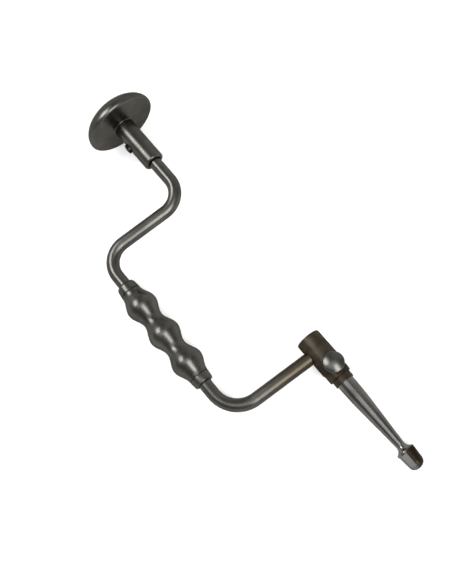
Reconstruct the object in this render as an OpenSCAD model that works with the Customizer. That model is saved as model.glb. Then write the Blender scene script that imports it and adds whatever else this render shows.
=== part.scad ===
// Cranial drill: a steel hand brace that opens the skull with a burr.
// The palm presses on the domed pad while the other hand swings the grip round.
// Lengths are in millimetres. The pad, the chuck and the burr share one turning
// axis along X, with the pad at -X. The crank bends out to -Y. Z is up, on the
// side of the catch knob. The origin is on the turning axis, at the flat crown
// of the chuck.

/* [Crank rod] */
// Diameter of the bent rod
rod_d = 10; // [9:0.5:11]
// Distance from the turning axis to the axis of the grip
crank_throw = 77; // [65:1:95]
// Lean of both arms towards the pad at their grip end, in degrees
arm_lean = 3.5; // [0:0.5:6]
// Centreline radius of the two bends at the pad end
upper_bend_r = 18; // [16:1:24]
// Centreline radius of the bend at the chuck end
lower_bend_r = 22.5; // [20:0.5:30]
// Distance along the turning axis from the chuck's crown back to the upper arm
upper_arm_back = 142.2; // [138:0.2:170]
// Bare rod between the upper arm's centreline and the mouth of the stem
spindle_bare = 38; // [30:0.5:50]
// How far the rod's end reaches past the turning axis inside the chuck
rod_past_axis = 5.5; // [4:0.1:6]

/* [Palm pad] */
// Diameter of the palm pad
pad_d = 57.6; // [48:0.4:64]
// Height of the dome above the widest part of the pad
dome_h = 14.8; // [12:0.2:20]
// Rounding under the rim of the pad
rim_round = 2.2; // [0.6:0.1:3]
// Rise of the underside from the rim towards the stem
underside_rise = 1.7; // [0.1:0.1:2.5]
// Fillet between the underside and the stem
pad_fillet = 0.5; // [0.3:0.1:4]

/* [Stem] */
// Outside diameter of the stem
stem_d = 16.4; // [15.8:0.2:20]
// Length of the stem from its mouth to its seat under the pad
stem_len = 39.6; // [36:0.2:60]
// Rounding at the mouth of the stem
stem_round = 1.5; // [0.5:0.1:2]
// Length of the threaded spigot that goes up into the pad
spigot_len = 8; // [6:0.5:9]
// Step from the outside of the stem down to the spigot
spigot_step = 1; // [0.5:0.1:1.1]
// Length of the lip that closes the mouth of the stem round the rod
lip_len = 2; // [1.5:0.5:3]
// Gap between the rod and that lip
lip_gap = 0.5; // [0.3:0.1:0.8]

/* [Bearings] */
// Wall of every plain bush
bush_wall = 1.15; // [0.8:0.05:1.2]
// Length of the lower bush in the stem
lower_bush_len = 13; // [8:0.5:14]
// Length of each bush in the grip
grip_bush_len = 14; // [8:0.5:20]
// Radial running clearance of the rod in its bushes
run_gap = 0.05; // [0.02:0.01:0.1]
// Diameter of the thrust ball above the spindle
ball_d = 6; // [5:0.5:7]
// Depth of the dish that the ball lies in, at each side
ball_dish = 0.6; // [0.3:0.1:0.8]
// Gap between the ball and the dish in the spindle's end
ball_gap = 0.1; // [0.05:0.05:0.2]
// Thickness of the hard seat behind the ball
seat_t = 2.5; // [2:0.5:4]
// Distance from the spindle's end down to the upper bush
bush_below_end = 1; // [0.5:0.1:2]
// Distance from the upper bush down to the thread of the retaining screw
bush_above_screw = 2.1; // [0.5:0.1:4]

/* [Retaining screw] */
// Distance from the mouth of the stem to the retaining screw
screw_up = 22.2; // [20:0.2:23]
// Turn of the screw from straight up towards the crank side, in degrees
screw_turn = 84; // [40:1:120]
// Diameter of the screw's thread
screw_d = 4; // [3:0.5:4.5]
// Diameter of the screw's head
screw_head_d = 7.6; // [6:0.2:8]
// How far the head stands out from the stem
screw_proud = 2.1; // [1:0.1:3]
// How much the top of the head is domed
screw_dome = 0.7; // [0.3:0.1:1.5]
// Gap round the head in its spotface
spotface_gap = 0.1; // [0.05:0.05:0.3]
// Diameter of the plain tip that runs in the spindle's groove
screw_tip_d = 3.2; // [2:0.1:3.4]
// Depth of the groove round the spindle
groove_depth = 1.4; // [1:0.1:1.8]
// Clearance of the tip in the groove, all round
tip_gap = 0.3; // [0.2:0.05:0.4]
// Width of the screwdriver slot
slot_w = 0.9; // [0.6:0.1:1.2]
// Depth of the screwdriver slot
slot_depth = 0.9; // [0.5:0.1:1.2]

/* [Grip] */
// Length of the turning grip
grip_len = 81.6; // [75:0.4:84]
// Number of swellings along the grip
grip_lobes = 3; // [2:1:5]
// Mean radius of the grip
grip_mean_r = 10.1; // [9.8:0.1:13]
// Height of the swellings above and below the mean radius
grip_wave = 2.1; // [0.5:0.1:2.2]
// Distance from the chuck's crown back to the end of the lower collar
collar_back = 22.9; // [22:0.1:26]
// End play of the grip at each washer
grip_play = 0.05; // [0.03:0.01:0.1]
// Thickness of the washers at both ends of the grip
washer_t = 0.5; // [0.3:0.1:1]
// Outside diameter of those washers
washer_d = 15; // [13:0.2:16]

/* [Collars] */
// Largest diameter of both collars, beside the grip
collar_d = 16; // [14:0.2:18]
// Diameter to which both collars taper
collar_end_d = 14.8; // [13:0.2:16]
// Length of the collar at the pad end
upper_collar_len = 7.2; // [6:0.2:10]
// Rounding of the free end of the upper collar
upper_collar_round = 2.3; // [0.5:0.1:2.3]
// Length of the collar at the chuck end
lower_collar_len = 6.1; // [4.5:0.1:7]
// Rounding of the free end of the lower collar
lower_collar_round = 1.1; // [0.3:0.1:1.5]
// Diameter of the pins through the collars
collar_pin_d = 2; // [1.5:0.1:2.5]
// How far every cross pin ends below the surface round it
pin_sink = 0.3; // [0.1:0.1:0.5]

/* [Chuck] */
// Diameter of the chuck
chuck_d = 18.8; // [18.4:0.2:24]
// Rounding of the edge round the crown
crown_round = 1.3; // [0.5:0.1:2.5]
// Metal between the crown and the rod
rod_cover = 8.1; // [6:0.1:10]
// Metal between the rod and the floor of the socket
floor_t = 1.4; // [1.2:0.1:3]
// Depth of the socket from the chuck's mouth to its floor
socket_depth = 16.6; // [16:0.2:24]
// Diameter of the reduced nose of the chuck
nose_d = 17.6; // [16.6:0.2:18.2]
// Length of the reduced nose
nose_len = 7.3; // [5:0.1:8]
// Chamfer on the nose and on the liner's end
nose_chamfer = 0.4; // [0.2:0.1:0.6]
// Diameter of the pin that holds the rod in the chuck
rod_pin_d = 3; // [2:0.5:4]
// How far that pin reaches past the rod's centreline
rod_pin_past = 2.5; // [1:0.5:3.5]
// Diameter of the pin that drives the shank
drive_pin_d = 2.5; // [2:0.1:3]
// Height of the drive pin above the socket's floor
drive_pin_up = 2.9; // [2.6:0.1:3.4]

/* [Socket liner] */
// Outside diameter of the liner inside the chuck
liner_d = 12.8; // [12:0.2:13.4]
// Diameter of the liner's collar outside the chuck
liner_collar_d = 14.8; // [14.2:0.2:16]
// Length of the liner's collar
liner_collar_len = 5.1; // [3:0.1:6]
// Depth of the liner's mouth, where the body of the bit goes in
liner_mouth = 3.6; // [2:0.1:4]
// Radial clearance of the bit in the liner
bit_gap = 0.05; // [0.02:0.01:0.1]

/* [Catch] */
// Diameter of the catch knob
knob_d = 15.4; // [14:0.2:16]
// Radius of the knob's domed crown
knob_crown_r = 14; // [11:0.5:20]
// Rounding of the knob's edge
knob_edge_round = 1; // [0.6:0.1:1.6]
// Slope of the cone under the knob's edge, in degrees from the knob's axis
knob_under_slope = 60; // [45:5:70]
// Wall of the knob's skirt round the guide
skirt_wall = 1.2; // [1:0.1:1.4]
// Clearance between the knob's skirt and the chuck
skirt_gap = 1.3; // [0.8:0.1:1.5]
// Distance of the knob's widest place from the turning axis
knob_out = 17.6; // [17.5:0.1:19]
// Distance of the catch from the chuck's mouth
catch_back = 8.5; // [8:0.1:9.2]
// Turn of the catch from straight up, away from the crank, in degrees
catch_turn = 5.5; // [0:0.5:20]
// Travel of the catch when it is pulled
catch_travel = 3; // [2:0.1:3]
// Outside diameter of the catch's guide
guide_d = 7.2; // [7:0.2:7.4]
// Wall of the guide round the spring
guide_wall = 1; // [0.8:0.1:1.1]
// Thickness of the guide's outer end
guide_end_t = 1.4; // [1:0.1:2]
// Clearance of the knob round and above the guide
knob_gap = 0.4; // [0.3:0.1:0.6]
// Diameter of the plunger's tip, which locks the shank
plunger_tip_d = 3.2; // [2.6:0.1:3.4]
// Diameter of the plunger's stem
plunger_stem_d = 2.4; // [2:0.1:2.6]
// Thickness of the plunger's flange, which the spring presses on
flange_t = 1; // [0.8:0.1:1.4]
// How deep the plunger's tip goes into the shank
lock_depth = 1.3; // [0.8:0.1:1.6]
// Clearance round the plunger's tip
lock_gap = 0.3; // [0.2:0.05:0.4]
// How far the plunger's stem is screwed into the knob
knob_thread = 2.6; // [2:0.1:2.8]
// Wire diameter of the catch spring
wire_d = 0.45; // [0.3:0.05:0.5]
// Turns of the catch spring
spring_turns = 5; // [4:0.5:5.5]
// Length that the spring has to spare when the catch is pulled right out
spring_spare = 1.2; // [0.6:0.1:1.4]
// Gap round the spring in the guide
coil_gap = 0.3; // [0.2:0.1:0.4]
// Gap between the guide's inner end and the liner
guide_gap = 0.15; // [0.1:0.05:0.25]

/* [Burr bit] */
// Diameter of the bit's plain shank
shank_d = 9; // [8:0.2:9.4]
// Space between the shank's end and the socket's floor
shank_end_gap = 0.4; // [0.2:0.1:0.6]
// Clearance of the shank's slot round the drive pin
drive_gap = 0.1; // [0.05:0.05:0.2]
// Diameter of the bit where it leaves the chuck
bit_d = 12.9; // [12:0.1:13.4]
// Length of the bit from the chuck to its neck
bit_len = 56.6; // [54:0.1:80]
// Diameter of the neck above the head
neck_d = 6.6; // [6:0.1:8]
// Slope of the bit's taper, in degrees
taper_slope = 4; // [3.7:0.1:5]
// Radius of the long curve from the shaft into the taper
taper_blend_r = 320; // [200:5:325]
// Concave fillet from the neck out to the head
neck_fillet = 4.7; // [3.5:0.1:5]
// Largest diameter of the cutting head
head_d = 13.7; // [12.9:0.1:16]
// Rounding of the head's shoulder
shoulder_round = 1; // [0.5:0.1:2]
// Length of the head from its widest place to its tip
head_len = 14.5; // [12:0.1:18]
// Diameter of the head where its nose begins
nose_start_d = 12.4; // [11.8:0.1:12.8]
// Radius of the nose
nose_round = 5.6; // [4:0.1:5.8]
// Number of flutes
flute_n = 5; // [3:1:6]
// Depth of the flutes at their cutting edge
flute_depth = 1.4; // [0.8:0.1:1.6]
// Width of each flute's flat side
flute_w = 4.4; // [3:0.1:5]
// Lean of each flute's short side, in degrees
flute_lean = 55; // [20:1:70]
// Distance of the flutes' upper end from the widest place of the head
flute_start = 1.2; // [0.8:0.1:3]
// Turn of the first flute from straight up, away from the crank, in degrees
flute_turn = 45.5; // [0:0.5:72]

/* [Hidden] */

steel = "#5a5852";
dark_steel = "#2b2a28";
brown_steel = "#4a4035";
bit_steel = "#77777a";
knob_steel = "#6c6c6a";
bronze = "#9a7a4a";

$fn = 96;
// Straight steps in a drawn curve
curve_steps = 12;
// Straight steps in each swelling of the grip
lobe_steps = 20;
// Straight steps in the dome's outline
dome_steps = 28;
// Extra length of a cutting shape past the face that it opens
past = 1;

rod_r = rod_d / 2;
bush_bore_r = rod_r + run_gap;
// Bending thickens the rod a hair, and each straight run laps into its bends by this length
bend_swell = 0.02;
bend_lap = 0.5;
bush_r = bush_bore_r + bush_wall;

// The rod's centreline: corners of its straight runs, and the length that each bend takes up
lower_arm_x = rod_cover + rod_r;
lean_shift = crank_throw * tan(arm_lean);
arm_span = crank_throw / cos(arm_lean);
upper_turn = 90 + arm_lean;
lower_turn = 90 - arm_lean;
upper_tangent = upper_bend_r * tan(upper_turn / 2);
lower_tangent = lower_bend_r * tan(lower_turn / 2);
upper_grip_corner_x = -upper_arm_back - lean_shift;
lower_grip_corner_x = lower_arm_x - lean_shift;

// Stations along the stem and the pad
stem_r = stem_d / 2;
stem_mouth_x = -upper_arm_back - spindle_bare;
pad_seat_x = stem_mouth_x - stem_len;
spigot_end_x = pad_seat_x - spigot_len;
spigot_r = stem_r - spigot_step;
pad_r = pad_d / 2;
rim_x = pad_seat_x - pad_fillet - underside_rise - rim_round;
seat_face_x = spigot_end_x + seat_t;
ball_r = ball_d / 2;
ball_x = seat_face_x - ball_dish + ball_r;
spindle_end_x = ball_x + ball_r - ball_dish;
lower_bush_x = stem_mouth_x - lip_len - lower_bush_len;
upper_bush_x = spindle_end_x + bush_below_end;

// The retaining screw, measured outwards from the turning axis
screw_x = stem_mouth_x - screw_up;
upper_bush_len = screw_x - screw_d / 2 - bush_above_screw - upper_bush_x;
spotface_r = screw_head_d / 2 + spotface_gap;
spotface_out = sqrt(stem_r * stem_r - spotface_r * spotface_r);
screw_head_h = stem_r + screw_proud - spotface_out;
groove_r = rod_r - groove_depth;
tip_in = groove_r + tip_gap;
tip_shoulder = rod_r + 2 * tip_gap;

// Stations along the grip
lower_collar_x = -collar_back - lower_collar_len;
lower_washer_x = lower_collar_x - washer_t;
grip_end_x = lower_washer_x - grip_play;
grip_start_x = grip_end_x - grip_len;
upper_washer_x = grip_start_x - grip_play - washer_t;
upper_collar_x = upper_washer_x - upper_collar_len;
collar_r = collar_d / 2;
collar_end_r = collar_end_d / 2;
collar_pin_len = 2 * (collar_end_r - pin_sink);

// Stations along the chuck
chuck_r = chuck_d / 2;
nose_r = nose_d / 2;
socket_floor_x = lower_arm_x + rod_r + floor_t;
chuck_len = socket_floor_x + socket_depth;
nose_x = chuck_len - nose_len;
rod_pin_len = lower_arm_x + rod_pin_past;
drive_pin_x = socket_floor_x + drive_pin_up;
drive_pin_len = 2 * (chuck_r - pin_sink);
liner_r = liner_d / 2;
liner_end_x = chuck_len + liner_collar_len;
catch_x = chuck_len - catch_back;

// The catch, measured outwards from the turning axis
shank_r = shank_d / 2;
guide_r = guide_d / 2;
spring_room_r = guide_r - guide_wall;
knob_r = knob_d / 2;
pocket_r = guide_r + knob_gap;
skirt_r = pocket_r + skirt_wall;
skirt_in = chuck_r + skirt_gap;
plunger_in = shank_r - lock_depth;
plunger_tip_r = plunger_tip_d / 2;
plunger_stem_r = plunger_stem_d / 2;
lock_hole_r = plunger_tip_r + lock_gap;
flange_out = liner_r + lock_gap;
guide_in = liner_r + guide_gap;
spring_in = flange_out + flange_t;
spring_out = spring_in + catch_travel + wire_d * (spring_turns + 1) + spring_spare;
guide_out = spring_out + guide_end_t;
pocket_out = guide_out + knob_gap;
flange_r = spring_room_r - run_gap;

// Stations along the bit
shank_x = socket_floor_x + shank_end_gap;
bit_seat_x = liner_end_x - liner_mouth;
bit_r = bit_d / 2;
neck_r = neck_d / 2;
neck_x = liner_end_x + bit_len;
head_r = head_d / 2;
taper_corner_x = neck_x - (bit_r - neck_r) / tan(taper_slope);
blend_x = taper_corner_x - taper_blend_r * tan(taper_slope / 2);

// Points on a round stretch, as [radius, x] pairs, from angle a0 to angle a1
function arc(centre, r, a0, a1, steps = curve_steps) =
    [for (i = [0:steps]) let (a = a0 + (a1 - a0) * i / steps) centre + r * [cos(a), sin(a)]];

// The angle of the line from point p to point q
function heading(p, q) = atan2(q[1] - p[1], q[0] - p[0]);

// A solid turned about the turning axis, from [radius, x] points
module turned(points) {
    rotate([0, 90, 0])
        rotate_extrude()
            polygon(points);
}

// A ring or sleeve about the turning axis
module sleeve(x, length, outer_r, inner_r) {
    turned([[inner_r, x], [outer_r, x], [outer_r, x + length], [inner_r, x + length]]);
}

// A plain round bar about the turning axis
module bar(x, length, r) {
    translate([x, 0, 0])
        rotate([0, 90, 0])
            cylinder(h = length, r = r);
}

// Moves a shape from the turning axis to the axis of the grip
module on_grip_axis() {
    translate([0, -crank_throw, 0])
        children();
}

// A pin across the axis, from side to side
module cross_pin(x, length, d) {
    translate([x, 0, 0])
        rotate([90, 0, 0])
            cylinder(h = length, d = d, center = true);
}

// Turns local Z to point outwards from the turning axis, at the retaining screw
module at_screw() {
    translate([screw_x, 0, 0])
        rotate([screw_turn, 0, 0])
            children();
}

// Turns local Z to point outwards from the turning axis, at the catch
module at_catch() {
    translate([catch_x, 0, 0])
        rotate([-catch_turn, 0, 0])
            children();
}

// A round solid from height a to height b
module post(a, b, r) {
    translate([0, 0, a])
        cylinder(h = b - a, r = r);
}

// A straight run of the rod, between two distances from a corner of the centreline
module rod_run(corner, angle, start, end) {
    translate(corner)
        rotate([0, 0, angle])
            translate([start, 0, 0])
                rotate([0, 90, 0])
                    cylinder(h = end - start, r = rod_r);
}

// A bend of the rod
module rod_bend(centre, bend_r, start, turn) {
    translate(centre)
        rotate([0, 0, start])
            rotate_extrude(angle = turn)
                translate([bend_r, 0])
                    circle(r = rod_r + bend_swell);
}

// The lower arm, measured from the turning axis, where the chuck holds its end
module lower_arm(start, end) {
    rod_run([lower_arm_x, 0, 0], lower_turn, start, end);
}

// A collar that tapers from x0 beside the grip to a rounded end at x1
module collar(x0, x1, end_round) {
    side = sign(x1 - x0);
    round_x = x1 - side * end_round;
    centre = [collar_end_r - end_round, round_x];
    turned(concat(
        [[rod_r, x0], [collar_r, x0]],
        arc(centre, end_round, 0, 90 * side),
        [[rod_r, x1]]
    ));
}

// Outline of the palm pad: the dome is half an ellipse
module pad_outline_solid() {
    dome = [for (i = [0:dome_steps])
        let (a = 90 * i / dome_steps)
        [pad_r * sin(a), rim_x - dome_h * cos(a)]];
    rim = arc([pad_r - rim_round, rim_x], rim_round, 0, 90);
    fillet_centre = [stem_r + pad_fillet, pad_seat_x];
    fillet = arc(fillet_centre, pad_fillet, 270, 180);
    turned(concat(dome, rim, fillet, [[0, pad_seat_x]]));
}

module pad_dome() {
    color(steel)
        difference() {
            pad_outline_solid();
            bar(spigot_end_x, spigot_len + past, spigot_r);
        }
}

module pad_stem() {
    lip_r = rod_r + lip_gap;
    lip_x = stem_mouth_x - lip_len;
    mouth_round = arc([stem_r - stem_round, stem_mouth_x - stem_round], stem_round, 90, 0);
    color(steel)
        difference() {
            turned(concat(
                [[lip_r, stem_mouth_x]],
                mouth_round,
                [
                    [stem_r, pad_seat_x],
                    [spigot_r, pad_seat_x],
                    [spigot_r, spigot_end_x],
                    [bush_r, spigot_end_x],
                    [bush_r, lip_x],
                    [lip_r, lip_x]
                ]
            ));
            at_screw() {
                post(rod_r, stem_r + past, screw_d / 2);
                post(spotface_out, stem_r + past, spotface_r);
            }
        }
}

module upper_stem_bush() {
    color(bronze)
        sleeve(upper_bush_x, upper_bush_len, bush_r, bush_bore_r);
}

module lower_stem_bush() {
    color(bronze)
        sleeve(lower_bush_x, lower_bush_len, bush_r, bush_bore_r);
}

module thrust_seat() {
    color(dark_steel)
        difference() {
            bar(spigot_end_x, seat_t, bush_r);
            translate([ball_x, 0, 0])
                sphere(r = ball_r);
        }
}

module thrust_ball() {
    color(knob_steel)
        translate([ball_x, 0, 0])
            sphere(r = ball_r);
}

// The head is a low dome with a slot, on a thread with a plain tip
module retaining_screw() {
    head_r = screw_head_d / 2;
    dome_r = (head_r * head_r + screw_dome * screw_dome) / (2 * screw_dome);
    head_top = spotface_out + screw_head_h;
    half_angle = asin(head_r / dome_r);
    crown = arc([0, head_top - dome_r], dome_r, 90 - half_angle, 90);
    color(dark_steel)
        at_screw() {
            difference() {
                rotate_extrude()
                    polygon(concat(
                        [
                            [0, tip_in],
                            [screw_tip_d / 2, tip_in],
                            [screw_tip_d / 2, tip_shoulder],
                            [screw_d / 2, tip_shoulder],
                            [screw_d / 2, spotface_out],
                            [head_r, spotface_out]
                        ],
                        crown
                    ));
                translate([-screw_head_d, -slot_w / 2, head_top - slot_depth])
                    cube([2 * screw_head_d, slot_w, slot_depth + past]);
            }
        }
}

module crank_rod() {
    upper_bend_x = -upper_arm_back - upper_tangent;
    upper_grip_bend_x = upper_grip_corner_x + upper_tangent;
    lower_grip_bend_x = lower_grip_corner_x - lower_tangent;
    groove_half = screw_tip_d / 2 + tip_gap;
    color(steel)
        difference() {
            union() {
                bar(spindle_end_x, upper_bend_x + bend_lap - spindle_end_x, rod_r);
                rod_bend([upper_bend_x, -upper_bend_r, 0], upper_bend_r, -arm_lean, upper_turn);
                rod_run([-upper_arm_back, 0, 0], -upper_turn,
                    upper_tangent - bend_lap, arm_span - upper_tangent + bend_lap);
                rod_bend([upper_grip_bend_x, upper_bend_r - crank_throw, 0], upper_bend_r,
                    180 - arm_lean, upper_turn);
                on_grip_axis()
                    bar(upper_grip_bend_x - bend_lap,
                        lower_grip_bend_x - upper_grip_bend_x + 2 * bend_lap, rod_r);
                rod_bend([lower_grip_bend_x, lower_bend_r - crank_throw, 0], lower_bend_r,
                    270, lower_turn);
                lower_arm(lower_tangent - arm_span - bend_lap, rod_past_axis);
            }
            translate([ball_x, 0, 0])
                sphere(r = ball_r + ball_gap);
            sleeve(screw_x - groove_half, 2 * groove_half, rod_r + past, groove_r);
            on_grip_axis() {
                cross_pin(upper_pin_x(), collar_pin_len, collar_pin_d);
                cross_pin(lower_pin_x(), collar_pin_len, collar_pin_d);
            }
            bar(0, rod_pin_len, rod_pin_d / 2);
        }
}

// Each collar's pin is in the middle of the length that isn't rounded
function upper_pin_x() = upper_washer_x - (upper_collar_len - upper_collar_round) / 2;
function lower_pin_x() = lower_collar_x + (lower_collar_len - lower_collar_round) / 2;

module upper_collar() {
    color(steel)
        on_grip_axis()
            difference() {
                collar(upper_washer_x, upper_collar_x, upper_collar_round);
                cross_pin(upper_pin_x(), 2 * collar_d, collar_pin_d);
            }
}

module upper_collar_pin() {
    color(dark_steel)
        on_grip_axis()
            cross_pin(upper_pin_x(), collar_pin_len, collar_pin_d);
}

module upper_washer() {
    color(dark_steel)
        on_grip_axis()
            sleeve(upper_washer_x, washer_t, washer_d / 2, bush_bore_r);
}

module lower_washer() {
    color(dark_steel)
        on_grip_axis()
            sleeve(lower_washer_x, washer_t, washer_d / 2, bush_bore_r);
}

module lower_collar() {
    color(steel)
        on_grip_axis()
            difference() {
                collar(lower_collar_x, -collar_back, lower_collar_round);
                cross_pin(lower_pin_x(), 2 * collar_d, collar_pin_d);
            }
}

module lower_collar_pin() {
    color(dark_steel)
        on_grip_axis()
            cross_pin(lower_pin_x(), collar_pin_len, collar_pin_d);
}

// The grip swells and narrows as a cosine, and is narrowest at its ends
module grip_sleeve() {
    steps = grip_lobes * lobe_steps;
    outline = [for (i = [0:steps])
        [grip_mean_r - grip_wave * cos(360 * i / lobe_steps), grip_start_x + grip_len * i / steps]];
    color(steel)
        on_grip_axis()
            turned(concat([[bush_r, grip_start_x]], outline, [[bush_r, grip_end_x]]));
}

module upper_grip_bush() {
    color(bronze)
        on_grip_axis()
            sleeve(grip_start_x, grip_bush_len, bush_r, bush_bore_r);
}

module lower_grip_bush() {
    color(bronze)
        on_grip_axis()
            sleeve(grip_end_x - grip_bush_len, grip_bush_len, bush_r, bush_bore_r);
}

module chuck_body() {
    crown = arc([chuck_r - crown_round, crown_round], crown_round, 270, 360);
    color(brown_steel)
        difference() {
            turned(concat(
                [[0, 0]],
                crown,
                [
                    [chuck_r, nose_x],
                    [nose_r, nose_x],
                    [nose_r, chuck_len - nose_chamfer],
                    [nose_r - nose_chamfer, chuck_len],
                    [liner_r, chuck_len],
                    [liner_r, socket_floor_x],
                    [0, socket_floor_x]
                ]
            ));
            lower_arm(-chuck_d, rod_past_axis);
            bar(-past, rod_pin_len + past, rod_pin_d / 2);
            cross_pin(drive_pin_x, 2 * chuck_d, drive_pin_d);
            at_catch()
                post(0, chuck_d, guide_r);
        }
}

module rod_pin() {
    color(dark_steel)
        bar(0, rod_pin_len, rod_pin_d / 2);
}

module socket_liner() {
    collar_r = liner_collar_d / 2;
    mouth_r = bit_r + bit_gap;
    color(brown_steel)
        difference() {
            turned([
                [shank_r + bit_gap, socket_floor_x],
                [liner_r, socket_floor_x],
                [liner_r, chuck_len],
                [collar_r, chuck_len],
                [collar_r, liner_end_x - nose_chamfer],
                [collar_r - nose_chamfer, liner_end_x],
                [mouth_r, liner_end_x],
                [mouth_r, bit_seat_x],
                [shank_r + bit_gap, bit_seat_x]
            ]);
            cross_pin(drive_pin_x, 2 * chuck_d, drive_pin_d);
            at_catch()
                post(0, chuck_d, lock_hole_r);
        }
}

module drive_pin() {
    color(dark_steel)
        cross_pin(drive_pin_x, drive_pin_len, drive_pin_d);
}

// A barrel screwed into the chuck's wall, which holds the spring and guides the plunger
module catch_guide() {
    color(dark_steel)
        at_catch()
            difference() {
                post(guide_in, guide_out, guide_r);
                post(guide_in - past, spring_out, spring_room_r);
                post(guide_in, guide_out + past, plunger_stem_r + run_gap);
            }
}

// Points of the spring's wire: rings of the wire's section along a helix
module catch_spring() {
    sides = 8;
    per_turn = 20;
    rings = per_turn * spring_turns;
    coil_r = spring_room_r - coil_gap - wire_d / 2;
    low = spring_in + wire_d / 2;
    rise = spring_out - spring_in - wire_d;
    wire = [for (i = [0:rings], j = [0:sides - 1])
        let (
            turn = 360 * i / per_turn,
            side = 360 * j / sides,
            r = coil_r + wire_d / 2 * cos(side)
        )
        [r * cos(turn), r * sin(turn), low + rise * i / rings + wire_d / 2 * sin(side)]];
    walls = [for (i = [0:rings - 1], j = [0:sides - 1])
        let (k = (j + 1) % sides)
        [i * sides + j, (i + 1) * sides + j, (i + 1) * sides + k, i * sides + k]];
    ends = [
        [for (j = [0:sides - 1]) j],
        [for (j = [sides - 1:-1:0]) rings * sides + j]
    ];
    color(bit_steel)
        at_catch()
            polyhedron(wire, concat(walls, ends), convexity = 10);
}

module catch_plunger() {
    color(dark_steel)
        at_catch() {
            rotate_extrude()
                polygon([
                    [0, plunger_in],
                    [plunger_tip_r, plunger_in],
                    [plunger_tip_r, flange_out],
                    [flange_r, flange_out],
                    [flange_r, spring_in],
                    [plunger_stem_r, spring_in],
                    [plunger_stem_r, pocket_out + knob_thread],
                    [0, pocket_out + knob_thread]
                ]);
        }
}

// A domed crown and a rounded edge that touch without a corner, a cone and a skirt
module catch_knob() {
    edge_centre = [knob_r - knob_edge_round, knob_out];
    reach = knob_crown_r - knob_edge_round;
    edge_turn = acos(edge_centre[0] / reach);
    crown = arc([0, knob_out - reach * sin(edge_turn)], knob_crown_r, 90, edge_turn);
    edge = arc(edge_centre, knob_edge_round, edge_turn, -knob_under_slope);
    cone_in = edge[curve_steps] - [skirt_r, 0];
    color(knob_steel)
        at_catch()
            difference() {
                rotate_extrude()
                    polygon(concat(crown, edge, [
                        [skirt_r, cone_in[1] - cone_in[0] / tan(knob_under_slope)],
                        [skirt_r, skirt_in],
                        [0, skirt_in]
                    ]));
                post(0, pocket_out, pocket_r);
                post(0, pocket_out + knob_thread, plunger_stem_r);
            }
}

// Centre of the fillet at the neck
function neck_centre() = [neck_r, neck_x] + neck_fillet * [cos(taper_slope), sin(taper_slope)];

// Where the widest place of the head is, along the turning axis
function head_x() =
    let (
        reach = neck_fillet + shoulder_round,
        inward = neck_centre()[0] - head_r + shoulder_round
    )
    neck_centre()[1] + sqrt(reach * reach - inward * inward);

// Slope of the side of the head
function side_slope() = atan((head_r - nose_start_d / 2) / (head_len - nose_round));

// Outline of the bit: shank, shaft, long taper, neck and bullet-shaped head
function bit_outline() =
    let (
        blend_centre = [bit_r - taper_blend_r, blend_x],
        blend = arc(blend_centre, taper_blend_r, 0, taper_slope),
        shoulder_centre = [head_r - shoulder_round, head_x()],
        outward = heading(neck_centre(), shoulder_centre),
        fillet = arc(neck_centre(), neck_fillet, 180 + taper_slope, outward),
        shoulder = arc(shoulder_centre, shoulder_round, outward - 180, side_slope()),
        tip_x = head_x() + head_len,
        nose_centre = [nose_start_d / 2 - nose_round, tip_x - nose_round],
        nose = arc(nose_centre, nose_round, side_slope(), 90)
    )
    concat(
        [[0, shank_x], [shank_r, shank_x], [shank_r, bit_seat_x], [bit_r, bit_seat_x]],
        blend, fillet, shoulder, nose, [[0, tip_x]]
    );

// A notch with a wide flat side and a short side, along the side of the head
module flute() {
    half = flute_w / 2;
    corner = [head_r - flute_depth, half];
    far = 2 * head_r;
    flat = heading(corner, [sqrt(head_r * head_r - half * half), -half]);
    translate([head_x() + flute_start, 0, 0])
        rotate([0, 90 + side_slope(), 0])
            linear_extrude(2 * head_len)
                polygon([
                    [-corner[0], corner[1]],
                    [-corner[0] - far * cos(flat), corner[1] + far * sin(flat)],
                    [-corner[0] - far * cos(flute_lean), corner[1] + far * sin(flute_lean)]
                ]);
}

module burr_bit() {
    slot_half = drive_pin_d / 2 + drive_gap;
    color(bit_steel)
        difference() {
            turned(bit_outline());
            translate([shank_x - past, -shank_d, -slot_half])
                cube([drive_pin_x + slot_half - shank_x + past, 2 * shank_d, 2 * slot_half]);
            at_catch()
                post(plunger_in - lock_gap, shank_d, lock_hole_r);
            for (i = [0:flute_n - 1])
                rotate([-flute_turn - 360 * i / flute_n, 0, 0])
                    flute();
        }
}

pad_dome();
pad_stem();
upper_stem_bush();
lower_stem_bush();
thrust_seat();
thrust_ball();
retaining_screw();
crank_rod();
upper_collar();
upper_collar_pin();
upper_washer();
grip_sleeve();
upper_grip_bush();
lower_grip_bush();
lower_washer();
lower_collar();
lower_collar_pin();
chuck_body();
rod_pin();
socket_liner();
drive_pin();
catch_guide();
catch_spring();
catch_plunger();
catch_knob();
burr_bit();
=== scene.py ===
"""Cranial drill: the finished look of the hand brace, built round its fixed frame.

Lengths are in metres. The pad, the chuck and the burr share the turning axis, which is X.
The grip turns about a parallel axis on the crank's side, at -Y. Z is up.
"""
import logging
import math
from dataclasses import dataclass, field, replace
from enum import Enum

import bpy
import numpy as np
from mathutils import Matrix, Vector


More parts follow.
